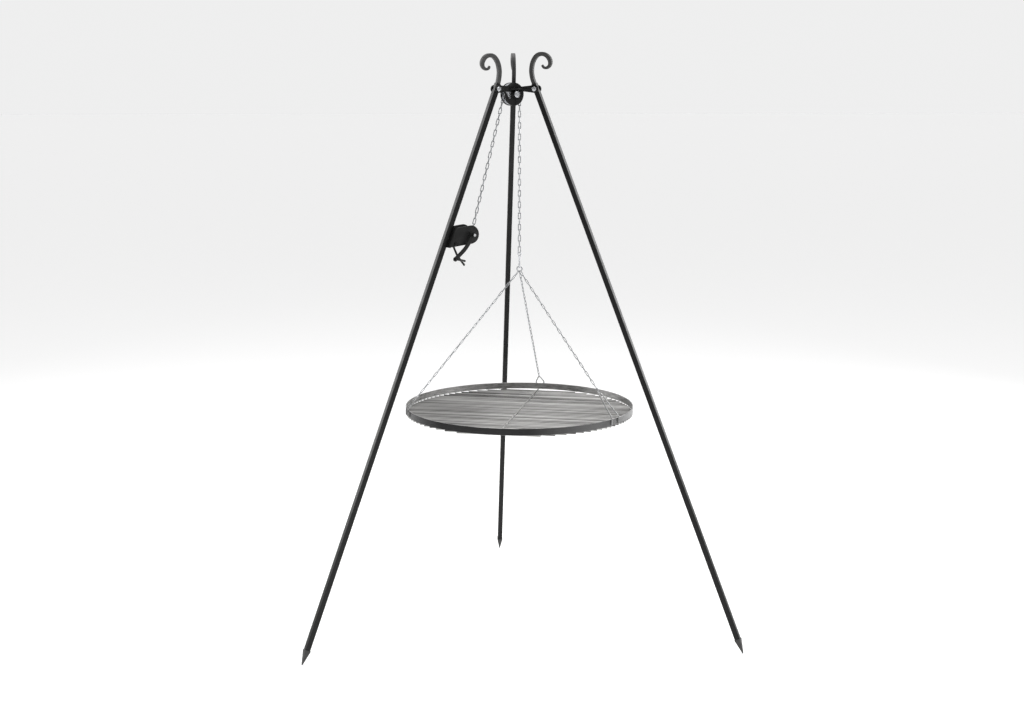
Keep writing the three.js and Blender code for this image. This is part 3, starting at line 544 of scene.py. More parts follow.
def add_scrolls():
    """Square bar, hammered a little wider round the curl and drawn down to a rounded tip."""
    bar = profile_curve(rounded_square(12.1 * MM, 0.9 * MM, 3))

    def width(t):
        flare = 0.12 * math.exp(-((t - 0.667) / 0.08) ** 2)
        return 1 + flare - 0.5 * max(0, (t - 0.55) / 0.45)

    bends = {"left": (math.radians(3.5), 0.955), "right": (0, 0.985), "rear": (0, 0.96)}
    for side in SIDES:
        place = turned_about_z(AZIMUTHS[side], PIVOTS[side]) @ UPRIGHT
        path = smooth_path(scroll_path(*bends[side]), 10)
        mesh = swept(path, 0, place, widths=width, profile=bar)
        node = f"leg_scroll_{side}"
        piece(f"scroll_{side}", mesh, FORGED, f"leg_{side}", [node])
    bpy.data.objects.remove(bar)


# Hub

def ear_outline(root):
    tip = arc((PIVOT_RADIUS, 0), EAR_RADIUS, -90, 90, 20)
    return [(root, -EAR_WAIST)] + tip + [(root, EAR_WAIST)]


def side_frame(side, offset):
    """The XY plane of a plate turned upright along a leg's arm, that far to its left."""
    return hub_frame(side) @ Matrix.Translation((0, offset, 0)) @ UPRIGHT


def add_ears():
    offset = EAR_GAP + EAR_THICKNESS / 2
    bolt_hole = circle((PIVOT_RADIUS, 0), BOLT_RADIUS + FIT)
    for side in ("right", "rear"):
        for label, sign in (("near", 1), ("far", -1)):
            mesh = plate([ear_outline(22 * MM), bolt_hole], EAR_THICKNESS, side_frame(side, sign * offset))
            piece(f"ear_{side}_{label}", mesh, PAINT, "hub", ["hub"])


def cheek_outline():
    """The winch leg's ear plates run on into the round cheeks of the pulley."""
    ear_top, ear_bottom = 8.2 * MM, -9.2 * MM
    top = math.degrees(math.asin((ear_top - CHEEK_CENTRE[1]) / CHEEK_RADIUS))
    low = math.degrees(math.asin((ear_bottom - CHEEK_CENTRE[1]) / CHEEK_RADIUS))
    round_edge = arc(CHEEK_CENTRE, CHEEK_RADIUS, top, 360 + low, 72)
    tip = arc((PIVOT_RADIUS, 0), EAR_RADIUS, -90, 90, 20)
    return round_edge + tip


def window_outline():
    return [(21 * MM, -8 * MM), (21 * MM, -30 * MM), (30 * MM, -30 * MM), (43 * MM, -8 * MM)]


def add_cheeks():
    offset = EAR_GAP + EAR_THICKNESS / 2
    holes = [
        circle((PIVOT_RADIUS, 0), BOLT_RADIUS + FIT),
        circle(CHEEK_CENTRE, AXLE_BOLT_RADIUS + FIT),
        window_outline(),
    ]
    for label, sign in (("near", 1), ("far", -1)):
        mesh = plate([cheek_outline(), *holes], EAR_THICKNESS, side_frame("left", sign * offset))
        piece(f"cheek_{label}", mesh, PAINT, "hub", ["hub"])


def add_star_plate():
    """Three arms on a round disc, slotted for the pulley."""
    reach = 59.5 * MM
    half = EAR_GAP + EAR_THICKNESS
    outline = []
    turn = math.degrees(math.asin(half / DISC_RADIUS))
    for side in ("rear", "left", "right"):
        spin = Matrix.Rotation(AZIMUTHS[side], 2)
        for point in ((reach, -half), (reach, half)):
            corner = spin @ Vector(point)
            outline.append((corner.x, corner.y))
        start = math.degrees(AZIMUTHS[side]) + turn
        outline += arc((0, 0), DISC_RADIUS, start + 1, start + 120 - 2 * turn - 1, 8)
    spin = Matrix.Rotation(AZIMUTHS["left"], 2)
    slot = []
    for x, y in ((-22, -8.4), (46, -8.4), (46, 8.4), (-22, 8.4)):
        corner = spin @ Vector((x * MM, y * MM))
        slot.append((corner.x, corner.y))
    mesh = plate([outline, slot], STAR_THICKNESS, Matrix.Translation(STAND_AXIS))
    piece("star_plate", mesh, PAINT, "hub", ["hub"])


def hex_bolt(head_width, head_height, radius, length, chamfer=0.8 * MM, washer=None):
    """A bolt along Z: its head sits on z = 0 and its threaded shank runs down."""
    bm = bmesh.new()
    bmesh.ops.create_cone(bm, cap_ends=True, segments=6, radius1=head_width / math.sqrt(3),
                          radius2=head_width / math.sqrt(3), depth=head_height,
                          matrix=Matrix.Translation((0, 0, head_height / 2)))
    rims = [e for e in bm.edges if abs(e.verts[0].co.z - e.verts[1].co.z) < 1e-6 and e.verts[0].co.z > 1e-5]
    bmesh.ops.bevel(bm, geom=rims, offset=chamfer, affect="EDGES", segments=3, profile=0.5, material=-1)
    head = from_bmesh(bm)
    meshes = [head]
    if length > 0:
        meshes.append(threaded_rod(radius, -length, 0.0, length * 0.45))
    if washer:
        bore, thick = radius + FIT, 1.3 * MM
        ring = [(bore, 0.0), (washer, 0.0), (washer, thick), (bore, thick)]
        meshes.append(lathe(ring, Matrix.Identity(4), 40))
    return joined(meshes)


def threaded_rod(radius, low, high, threaded):
    pitch = 1.25 * MM
    depth = 0.5 * MM
    profile = [(0, low), (radius - 2 * depth, low), (radius - depth, low + 0.4 * MM)]
    z = low + 0.5 * MM
    while z + pitch < low + threaded:
        profile += [(radius - depth, z), (radius, z + pitch / 2)]
        z += pitch
    profile += [(radius, z + 0.3 * MM), (radius, high), (0, high)]
    return lathe(profile, Matrix.Identity(4), 24)


def hex_nut(width, height, bore):
    """A nut along Z, from z = 0 up."""
    ring = circle((0, 0), bore, 24)
    corner = width / math.sqrt(3)
    turns = [math.radians(degrees) for degrees in range(0, 360, 60)]
    points = [(corner * math.cos(turn), corner * math.sin(turn)) for turn in turns]
    return plate([points, ring], height, Matrix.Translation((0, 0, height / 2)), 0.6 * MM)


def along(frame_matrix, direction):
    """Turns +Z to +Y or -Y of the frame, for a bolt that crosses it."""
    return frame_matrix @ Matrix.Rotation(-direction * math.pi / 2, 4, "X")


def add_pivot_bolts():
    seat = EAR_GAP + EAR_THICKNESS + FIT
    heads = {"left": 1, "right": -1, "rear": -1}
    for side in SIDES:
        sign = heads[side]
        base = hub_frame(side) @ Matrix.Translation((PIVOT_RADIUS, 0, 0))
        bolt = hex_bolt(13 * MM, 5.3 * MM, BOLT_RADIUS, 2 * seat + 8.5 * MM)
        bolt.transform(along(base @ Matrix.Translation((0, sign * seat, 0)), sign))
        piece(f"bolt_{side}", bolt, ZINC, "hub", [f"pivot_bolt_{side}"])
        nut = hex_nut(13 * MM, 6.5 * MM, BOLT_RADIUS + 0.05 * MM)
        nut.transform(along(base @ Matrix.Translation((0, -sign * seat, 0)), -sign))
        piece(f"nut_{side}", nut, ZINC, "hub", [f"pivot_nut_{side}"])


def add_pulley():
    half = EAR_GAP - 1 * MM
    inner = half - 1.5 * MM
    base = pulley_frame()
    profile = [
        (5.3, -half / MM), (17, -half / MM), (18, -half / MM + 1), (27, -half / MM + 1), (28, -half / MM),
        (32.6, -half / MM), (33, -half / MM + 0.4), (33, -half / MM + 0.7), (24.5, -inner / MM + 0.5),
        (22.6, -3.4), (22.4, 0), (22.6, 3.4), (24.5, inner / MM - 0.5), (33, half / MM - 0.7),
        (33, half / MM - 0.4), (32.6, half / MM), (28, half / MM), (27, half / MM - 1),
        (18, half / MM - 1), (17, half / MM), (5.3, half / MM),
    ]
    mesh = lathe([(r * MM, z * MM) for r, z in profile], base @ Matrix.Rotation(-math.pi / 2, 4, "X"), 72)
    piece("pulley_wheel", mesh, ZINC, "pulley", ["pulley"])

    seat = EAR_GAP + EAR_THICKNESS + FIT
    near = base @ Matrix.Translation((0, seat, 0))
    collar = lathe([
        (5.4 * MM, 0), (10 * MM, 0), (10 * MM, 0.4 * MM), (9.2 * MM, 0.8 * MM), (9.2 * MM, 11 * MM),
        (8.8 * MM, 11.4 * MM), (5.4 * MM, 11.4 * MM),
    ], along(near, 1), 48)
    piece("axle_collar", collar, PAINT, "hub", [])
    end = lathe([
        (0, -2 * seat - 8.5 * MM), (4.4 * MM, -2 * seat - 8.5 * MM), (5 * MM, -2 * seat - 7.9 * MM),
        (5 * MM, 11.7 * MM), (9.3 * MM, 11.7 * MM), (9.9 * MM, 12.3 * MM), (9.9 * MM, 16.4 * MM),
        (9 * MM, 17.6 * MM), (6 * MM, 18 * MM), (0, 18 * MM),
    ], along(near, 1), 48)
    piece("axle_bolt", end, ZINC, "hub", ["pulley_axle"])
    nut = hex_nut(17 * MM, 6.5 * MM, AXLE_BOLT_RADIUS + 0.05 * MM)
    nut.transform(along(base @ Matrix.Translation((0, -seat, 0)), -1))
    piece("axle_bolt_nut", nut, ZINC, "hub", ["pulley_axle_nut"])


# Chains

def chain_link(pitch, width, wire, around=18, sides=8):
    """One welded link along X, centred: straight flanks and round ends."""
    outer = pitch + 2 * wire
    end = width / 2 - wire / 2
    straight = outer / 2 - wire / 2 - end
    path = [Vector((x, y, 0)) for x, y in arc((straight, 0), end, -90, 90, around // 2)]
    path += [Vector((x, y, 0)) for x, y in arc((-straight, 0), end, 90, 270, around // 2)]
    curve_sides = max(0, sides // 2 - 2)
    return swept(path, wire / 2, Matrix.Identity(4), closed=True, sides=curve_sides)


def path_lengths(path):
    lengths = [0.0]
    for a, b in zip(path, path[1:]):
        lengths.append(lengths[-1] + (b - a).length)
    return lengths


def point_on(path, lengths, distance):
    distance = min(max(distance, 0), lengths[-1])
    for i in range(len(path) - 1):
        if distance <= lengths[i + 1] or i == len(path) - 2:
            share = (distance - lengths[i]) / max(lengths[i + 1] - lengths[i], 1e-9)
            return path[i].lerp(path[i + 1], share)
    return path[-1]


def chain(path, pitch, width, wire, side_axis, jitter=0.06, first_turn=0.25 * math.pi):
    """Links along a path, each a quarter turn from the last, fitted to whole links."""
    rng = random.Random(len(path) * 7 + int(pitch / MM * 10))
    lengths = path_lengths(path)
    count = max(1, round(lengths[-1] / pitch))
    step = lengths[-1] / count
    link = chain_link(pitch, width, wire)
    bm = bmesh.new()
    for i in range(count):
        ahead = point_on(path, lengths, (i + 1) * step)
        behind = point_on(path, lengths, i * step)
        direction = (ahead - behind).normalized()
        side = (side_axis - direction * side_axis.dot(direction)).normalized()
        up = direction.cross(side)
        basis = Matrix((direction, side, up)).transposed().to_4x4()
        roll = first_turn + (i % 2) * math.pi / 2 + rng.uniform(-jitter, jitter)
        place = Matrix.Translation((ahead + behind) / 2) @ basis @ Matrix.Rotation(roll, 4, "X")
        start = len(bm.verts)
        bm.from_mesh(link)
        bm.verts.ensure_lookup_table()
        bmesh.ops.transform(bm, matrix=place, verts=bm.verts[start:])
    bpy.data.meshes.remove(link)
    return from_bmesh(bm)


def winch_plane(point):
    """A point given as (out along the winch leg, up) from the stand's axis, as a place in the scene."""
    out, up = point
    azimuth = AZIMUTHS["left"]
    return Vector((
        STAND_AXIS.x + out * math.cos(azimuth),
        STAND_AXIS.y + out * math.sin(azimuth),
        up,
    ))


def flat_place(place):
    out = math.hypot(place.x - STAND_AXIS.x, place.y - STAND_AXIS.y)
    return Vector((out, place.z))


PULLEY_PITCH = 28 * MM
DRUM_CORE = 10.5 * MM
DRUM_PITCH = 16 * MM


def run_ends():
    """Where the straight run leaves the pulley and meets the drum: a crossed tangent of the two."""
    pulley = flat_place(PULLEY_CENTRE)
    drum = flat_place(DRUM_CENTRE)
    apart = drum - pulley
    share = (PULLEY_PITCH + DRUM_PITCH) / apart.length
    ahead = apart.normalized()
    side = Vector((-ahead.y, ahead.x))
    normal = ahead * share + side * math.sqrt(1 - share * share)
    return pulley + normal * PULLEY_PITCH, drum - normal * DRUM_PITCH, normal


def add_main_chain():
    tangent = Vector(joints["crank_turn"]["axis"])
    top, bottom, normal = run_ends()
    run = [winch_plane(top), winch_plane(bottom)]
    mesh = chain(run, LINK_PITCH, LINK_WIDTH, LINK_WIRE, tangent)
    straight = piece("chain_to_winch", mesh, CHAIN_ZINC, None, ["chain_run"])
    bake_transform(straight)

    centre = flat_place(PULLEY_CENTRE)
    first = math.degrees(math.atan2(normal.y, normal.x))
    bend = [winch_plane(p) for p in arc(centre, PULLEY_PITCH, first, 180, 24)]
    mesh = chain(bend, LINK_PITCH, LINK_WIDTH, LINK_WIRE, tangent)
    piece("chain_on_pulley", mesh, CHAIN_ZINC, "hub", ["chain_over_pulley"])

    low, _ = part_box("chain_fall")
    fall = [FALL_TOP, Vector((FALL_TOP.x, FALL_TOP.y, low.z - 2 * MM))]
    mesh = chain(fall, LINK_PITCH, LINK_WIDTH, LINK_WIRE, tangent)
    hanging = piece("chain_to_hook", mesh, CHAIN_ZINC, None, ["chain_fall"])
    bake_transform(hanging)


def add_drum_chain():
    """A little over three turns side by side on the drum, the first meeting the straight run."""
    _, _, normal = run_ends()
    base = turned_about_z(AZIMUTHS["left"], DRUM_CENTRE)
    start = math.atan2(-normal.y, -normal.x)
    turns = 3.2
    steps = 120
    pitch = 10.8 * MM
    path = []
    for i in range(steps + 1):
        angle = start - 2 * math.pi * turns * i / steps
        across = pitch * (turns * i / steps - 1.4) if i else 0
        path.append(base @ Vector((DRUM_PITCH * math.cos(angle), across, DRUM_PITCH * math.sin(angle))))
    mesh = chain(path, LINK_PITCH, LINK_WIDTH * 0.92, LINK_WIRE, Vector(joints["crank_turn"]["axis"]))
    # The wound chain takes the darker zinc copy, which is painted shade for its place between the housing
    # plates.
    piece("wound_chain", mesh, WOUND_ZINC_SHADED, "crank", ["drum_chain"])


# Winch

DRUM_REACH = 58.9 * MM
SHEET = 2.5 * MM
HOUSING_HALF = 24.5 * MM
HOUSING_RISE = math.radians(27.9)
NOSE_RADIUS = 28 * MM
BEND = 4 * MM
ARM_PLANE = 35 * MM
ARM_THICKNESS = 4 * MM
ARM_FRONT = ARM_PLANE + ARM_THICKNESS / 2


def housing_place(along_arms, above):
    """So far along the arms from the drum axle towards the leg, and so far above their middle."""
    c, s = math.cos(HOUSING_RISE), math.sin(HOUSING_RISE)
    return (along_arms * c + above * s, above * c - along_arms * s)


def arm_edge(reach, above):
    """Where an edge of the arms crosses a line parallel to the leg."""
    along_arms = (reach - above * math.sin(HOUSING_RISE)) / math.cos(HOUSING_RISE)
    return housing_place(along_arms, above)


def bolt_heights():
    middle = arm_edge(DRUM_REACH, 0)[1]
    return middle + 12 * MM, middle - 12 * MM


def catch_pivot():
    return housing_place(58 * MM, -20 * MM)


def add_housing():
    """One bent channel: the base lies on the leg and two arms run out and a little up to round noses."""
    base = drum_frame()
    lip = DRUM_REACH - BEND
    start = 90 - math.degrees(HOUSING_RISE)
    nose = arc((0, 0), NOSE_RADIUS, start, start + 180, 48)
    outline = [arm_edge(lip, NOSE_RADIUS)] + nose + [arm_edge(lip, -NOSE_RADIUS)]
    axle_hole = circle((0, 0), 6.3 * MM)
    pin_hole = circle(catch_pivot(), 3.3 * MM)
    offset = HOUSING_HALF - SHEET / 2
    meshes = [
        plate([outline, axle_hole, pin_hole], SHEET, base @ Matrix.Translation((0, offset, 0)) @ UPRIGHT),
        plate([outline, axle_hole], SHEET, base @ Matrix.Translation((0, -offset, 0)) @ UPRIGHT),
    ]
    corner_x = DRUM_REACH - BEND
    corner_y = HOUSING_HALF - BEND
    inner = BEND - SHEET
    channel = (
        arc((corner_x, corner_y), BEND, 90, 0, 8)
        + arc((corner_x, -corner_y), BEND, 0, -90, 8)
        + arc((corner_x, -corner_y), inner, -90, 0, 6)
        + arc((corner_x, corner_y), inner, 0, 90, 6)
    )
    high = arm_edge(lip, NOSE_RADIUS)[1]
    low = arm_edge(DRUM_REACH, -NOSE_RADIUS)[1]
    middle = Matrix.Translation((0, 0, (high + low) / 2))
    meshes.append(plate([channel], high - low, base @ middle, 0.3 * MM))
    piece("winch_body", joined(meshes), SHEET_PAINT, "leg_left", ["winch_housing"])


def add_winch_bolts():
    """Short bolts from inside the housing into the leg's wall, so the leg's outer face stays clean."""
    base = drum_frame()
    seat = DRUM_REACH - SHEET - FIT
    for label, height in zip(("upper", "lower"), bolt_heights()):
        bolt = hex_bolt(10 * MM, 4 * MM, 3 * MM, SHEET + 2 * FIT + 7 * MM, 0.6 * MM)
        bolt.transform(base @ Matrix.Translation((seat, 0, height)) @ Matrix.Rotation(-math.pi / 2, 4, "Y"))
        piece(f"fixing_bolt_{label}", bolt, ZINC, "leg_left", [f"winch_bolt_{label}"])


def add_drum():
    base = drum_frame() @ Matrix.Rotation(-math.pi / 2, 4, "X")
    half = HOUSING_HALF - SHEET - 1 * MM
    inner = half - 2 * MM
    drum = [
        (6.3 * MM, -half), (26.8 * MM, -half), (27.3 * MM, -half + 0.5 * MM),
        (27.3 * MM, -inner - 0.4 * MM), (26.9 * MM, -inner), (DRUM_CORE, -inner),
        (DRUM_CORE, inner), (26.9 * MM, inner), (27.3 * MM, inner + 0.4 * MM),
        (27.3 * MM, half - 0.5 * MM), (26.8 * MM, half), (6.3 * MM, half),
    ]
    piece("drum", lathe(drum, base, 64), SHEET_PAINT, "crank", ["winch_drum"])
    arm_back = ARM_PLANE - ARM_THICKNESS / 2
    end = ARM_FRONT + FIT + 8.5 * MM
    axle = [
        (0, -HOUSING_HALF - 3 * MM), (5.4 * MM, -HOUSING_HALF - 3 * MM),
        (6 * MM, -HOUSING_HALF - 2.4 * MM), (6 * MM, arm_back - FIT), (4 * MM, arm_back - FIT),
        (4 * MM, end - 0.6 * MM), (3.4 * MM, end), (0, end),
    ]
    piece("drum_axle", lathe(axle, base, 40), ZINC, "crank", ["winch_axle"])
    nut = hex_nut(13 * MM, 6.5 * MM, 4.05 * MM)
    nut.transform(along(drum_frame() @ Matrix.Translation((0, ARM_FRONT + FIT, 0)), 1))
    piece("axle_end_nut", nut, PAINT, "crank", ["crank_nut"])


CRANK_LENGTH = 95 * MM
CRANK_ANGLE = 0.35


def crank_end():
    return Vector((CRANK_LENGTH * math.sin(CRANK_ANGLE), -CRANK_LENGTH * math.cos(CRANK_ANGLE)))


def add_crank():
    """A flat bar, bowed a little, with round ends and a rod through its tip for the hand."""
    tip = crank_end()
    middle = (tip.x * 0.5 - 6 * MM, tip.y * 0.5 - 1.2 * MM)
    line = smooth_path([(0, 0, 0), (*middle, 0), (tip.x, tip.y, 0)], 10)
    half, boss, end = 6 * MM, 9 * MM, 7 * MM
    left, right = [], []
    for before, place, after in zip(line, line[1:], line[2:]):
        if place.length < boss or (place.xy - tip).length < end:
            continue
        ahead = (after - before).normalized() * half
        left.append((place.x - ahead.y, place.y + ahead.x))
        right.append((place.x + ahead.y, place.y - ahead.x))
    heading = [math.degrees(math.atan2(run.y, run.x)) for run in (line[1] - line[0], line[-1] - line[-2])]
    shoulder = math.degrees(math.asin(half / boss))
    wrap = 180 - math.degrees(math.asin(half / end))
    low = arc((tip.x, tip.y), end, heading[1] - wrap, heading[1] + wrap, 24)
    top = arc((0, 0), boss, heading[0] + shoulder, heading[0] + 360 - shoulder, 30)
    outline = right + low + left[::-1] + top
    holes = [circle((0, 0), BOLT_RADIUS + FIT), circle((tip.x, tip.y), 3.35 * MM)]
    base = drum_frame() @ Matrix.Translation((0, ARM_PLANE, 0)) @ UPRIGHT
    arm = plate([outline, *holes], ARM_THICKNESS, base)
    piece("arm", arm, SHEET_PAINT, "crank", ["crank_arm"])
    low_end, high_end = 28 * MM, 89 * MM
    r = 3.3 * MM
    rod = [
        (0, low_end), (r - 0.9 * MM, low_end), (r, low_end + 0.9 * MM), (r, 32.6 * MM),
        (r + 0.5 * MM, 32.8 * MM), (r + 0.5 * MM, 32.95 * MM), (r - 0.02 * MM, 33 * MM),
        (r - 0.02 * MM, 37 * MM), (r + 0.9 * MM, 37.1 * MM), (r + 0.7 * MM, 37.8 * MM), (r, 38.3 * MM),
        (r, high_end - 1.2 * MM), (r - 1.1 * MM, high_end), (0, high_end),
    ]
    place = drum_frame() @ Matrix.Translation((tip.x, 0, tip.y)) @ Matrix.Rotation(-math.pi / 2, 4, "X")
    piece("hand_rod", lathe(rod, place, 32), PAINT, "crank", ["crank_handle"])


def add_catch():
    x, z = catch_pivot()
    offsets = [(-2, -3), (-9, -11), (-20, -21), (-31, -30), (-64, -48)]
    path = smooth_path([(x + dx * MM, z + dz * MM, 0) for dx, dz in offsets], 10)
    base = drum_frame() @ Matrix.Translation((0, 8 * MM, 0)) @ UPRIGHT
    rod = swept(path, 3.25 * MM, base)
    eye = plate([circle((x, z), 6.5 * MM, 40), circle((x, z), 3.3 * MM)], 6.5 * MM, base, 0.9 * MM)
    piece("catch_rod", joined([rod, eye]), PAINT, "crank_catch", ["crank_catch"])
    pin = [
        (0, -5.2 * MM), (2.6 * MM, -5.2 * MM), (3 * MM, -4.8 * MM), (3 * MM, 16.8 * MM),
        (5 * MM, 16.8 * MM), (5 * MM, 18 * MM), (4.3 * MM, 19.3 * MM),
        (2.6 * MM, 19.8 * MM), (0, 19.8 * MM),
    ]
    place = drum_frame() @ Matrix.Translation((x, 8 * MM, z)) @ Matrix.Rotation(-math.pi / 2, 4, "X")
    piece("catch_rivet", lathe(pin, place, 32), PAINT, "leg_left", ["catch_pin"])


# Snap hook and hangers

COLLAR_TOP = SWIVEL_PLACE.z
HOOK_TOP = COLLAR_TOP - 2.5 * MM
HOOK_BOTTOM = HOOK_TOP - 34 * MM
HOOK_HALF = 9 * MM
SWIVEL_RING = 5 * MM
SWIVEL_WIRE = 1.8 * MM
RING_RADIUS = 8 * MM
RING_WIRE = 2 * MM
RING_MIDDLE = HOOK_BOTTOM + 4.5 * MM - RING_RADIUS


def hook_frame(height):
    """The hook's own plane at a height: local X runs towards the back, local Y up."""
    place = Vector((FALL_TOP.x, FALL_TOP.y, height))
    return Matrix.Translation(place) @ Matrix.Rotation(math.pi / 2, 4, "Z") @ UPRIGHT


def add_snap_hook():
    w = HOOK_HALF
    drop = HOOK_TOP - HOOK_BOTTOM
    path = smooth_path([
        (-w, -6.5 * MM, 0), (-w * 0.66, -1.8 * MM, 0), (0, 0, 0), (w * 0.66, -1.8 * MM, 0),
        (w, -8 * MM, 0), (w, -drop + 11 * MM, 0), (w * 0.72, -drop + 3 * MM, 0), (0, -drop, 0),
        (-w * 0.72, -drop + 3 * MM, 0), (-w, -drop + 8.4 * MM, 0),
    ], 8)
    loop = swept(path, 2.2 * MM, hook_frame(HOOK_TOP))
    collar = lathe([
        (2.1 * MM, -5 * MM), (4.2 * MM, -5 * MM), (4.6 * MM, -4.6 * MM), (4.6 * MM, -0.5 * MM),
        (4.1 * MM, 0), (2.1 * MM, 0),
    ], Matrix.Translation((FALL_TOP.x, FALL_TOP.y, COLLAR_TOP)), 32)
    piece("snap_body", joined([loop, collar]), ZINC, "grate", ["snap_hook"])

    hinge = HOOK_TOP - 10 * MM
    end = HOOK_BOTTOM + 11 * MM
    r = 1.8 * MM
    gate = lathe([
        (0, end), (r - 0.5 * MM, end), (r, end + 0.5 * MM), (r, hinge - 0.9 * MM),
        (r - 0.9 * MM, hinge), (0, hinge),
    ], Matrix.Translation((FALL_TOP.x, FALL_TOP.y - w, 0)), 24)
    piece("gate", gate, ZINC, "snap_gate", ["snap_gate"])


def ring_path(radius, steps=40):
    return [Vector((x, y, 0)) for x, y in circle((0, 0), radius, steps)]


def add_swivel_and_ring():
    middle = COLLAR_TOP + FIT + SWIVEL_RING + SWIVEL_WIRE
    face = Matrix.Translation((FALL_TOP.x, FALL_TOP.y, middle)) @ UPRIGHT
    eye = swept(ring_path(SWIVEL_RING), SWIVEL_WIRE, face, closed=True)
    low = COLLAR_TOP - 5 * MM - FIT
    stem = lathe([
        (0, low - 2 * MM), (2.8 * MM, low - 2 * MM), (3.2 * MM, low - 1.5 * MM), (3.2 * MM, low),
        (1.8 * MM, low), (1.8 * MM, middle - SWIVEL_RING), (0, middle - SWIVEL_RING),
    ], Matrix.Translation((FALL_TOP.x, FALL_TOP.y, 0)), 28)
    piece("swivel", joined([eye, stem]), ZINC, "swivel", ["swivel_eye"])
    hang = Matrix.Translation((FALL_TOP.x, FALL_TOP.y, RING_MIDDLE)) @ UPRIGHT
    ring = swept(ring_path(RING_RADIUS), RING_WIRE, hang, closed=True)
    piece("top_ring", ring, CHAIN_ZINC, "grate", ["hanger_ring"])


GRATE_RADIUS = 360 * MM
RIM_HEIGHT = 20 * MM
RIM_THICKNESS = 3 * MM
CROSS_ROD_END_GAP = 10 * MM
_, rim_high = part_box("grate_rim")
GRATE_TOP = rim_high.z
BAIL_WIRE = 2 * MM
BAIL_FOOT = GRATE_RADIUS + BAIL_WIRE + FIT
BAIL_BEND = GRATE_TOP + 4 * MM
# Turn round the grate, length and half width of each bail
BAILS = {
    "rear": (89.5, 28 * MM, 13 * MM),
    "left": (206.5, 52 * MM, 17 * MM),
    "right": (334.5, 92 * MM, 19 * MM),
}


def hanger_direction():
    start = Vector((2.5 * MM, RING_MIDDLE - RING_RADIUS))
    return (Vector((BAIL_FOOT, BAIL_BEND)) - start).normalized()


def add_hangers():
    slope = hanger_direction()

    def back(distance, side):
        return (BAIL_FOOT - slope.x * distance, side, BAIL_BEND - slope.y * distance)

    low = GRATE_TOP - 17 * MM
    high = GRATE_TOP - 2 * MM
    for side, (degrees, length, w) in BAILS.items():
        half = [
            (BAIL_FOOT, w, low), (BAIL_FOOT, w, high), back(3 * MM, w * 0.97),
            back(length * 0.5, w * 0.62), back(length - 5 * MM, w * 0.3),
        ]
        other = [(x, -y, z) for x, y, z in half]
        outline = other + [back(length, 0)] + half[::-1]
        base = grate_frame() @ Matrix.Rotation(math.radians(degrees), 4, "Z")
        bail = swept(smooth_path(outline, 8), BAIL_WIRE, base)
        piece(f"bail_wire_{side}", bail, WIRE_STEEL, "grate", [f"bail_{side}"])
        top = Vector((2.5 * MM, 0, RING_MIDDLE - RING_RADIUS + 1 * MM))
        reach = length - 1.5 * MM
        end = Vector((BAIL_FOOT - slope.x * reach, 0, BAIL_BEND - slope.y * reach))
        path = [base @ top, base @ end]
        across = base.to_3x3() @ Vector((0, 1, 0))
        mesh = chain(path, HANGER_PITCH, HANGER_WIDTH, HANGER_WIRE, across, 0.12)
        piece(f"hanger_{side}", mesh, CHAIN_ZINC, "grate", [f"hanger_chain_{side}"])


# Grate

ROD_RADIUS = 3 * MM
ROD_PITCH = 18.5 * MM
ROD_LEVEL = GRATE_TOP - RIM_HEIGHT - 0.3 * MM - ROD_RADIUS


def add_rim():
    # Paints the rim's outer face darker, with painted light lightening it towards the right.
    paint_outer_light_gradient(RIM_STEEL, tuple(grate_frame().translation), GRATE_RADIUS)
    inner = GRATE_RADIUS - RIM_THICKNESS
    bottom = GRATE_TOP - RIM_HEIGHT
    e = 0.5 * MM
    profile = [
        (inner + e, bottom), (GRATE_RADIUS - e, bottom), (GRATE_RADIUS, bottom + e),
        (GRATE_RADIUS, GRATE_TOP - e), (GRATE_RADIUS - e, GRATE_TOP),
        (inner + e, GRATE_TOP), (inner, GRATE_TOP - e), (inner, bottom + e),
    ]
    piece("rim", lathe(profile, grate_frame(), 240), RIM_STEEL, "grate", ["grate_rim"])


def rod_between(bm, start, end, radius, sides=14):
    """A round rod with slightly rounded cut ends."""
    run = end - start
    middle = (start + end) / 2
    turn = run.to_track_quat("Z", "Y").to_matrix().to_4x4()
    made = bmesh.ops.create_cone(bm, cap_ends=True, segments=sides, radius1=radius, radius2=radius,
                                 depth=run.length, matrix=Matrix.Translation(middle) @ turn)
    ends = {e for v in made["verts"] for e in v.link_edges
            if abs((e.verts[0].co - e.verts[1].co).dot(run.normalized())) < 1e-6}
    bmesh.ops.bevel(bm, geom=list(ends), offset=0.5 * MM, affect="EDGES",
                    segments=2, profile=0.5, material=-1)


def weld_bead(bm, place, size):
    bmesh.ops.create_icosphere(bm, subdivisions=2, radius=1,
                               matrix=Matrix.Translation(place) @ Matrix.Diagonal((*size, 1)))


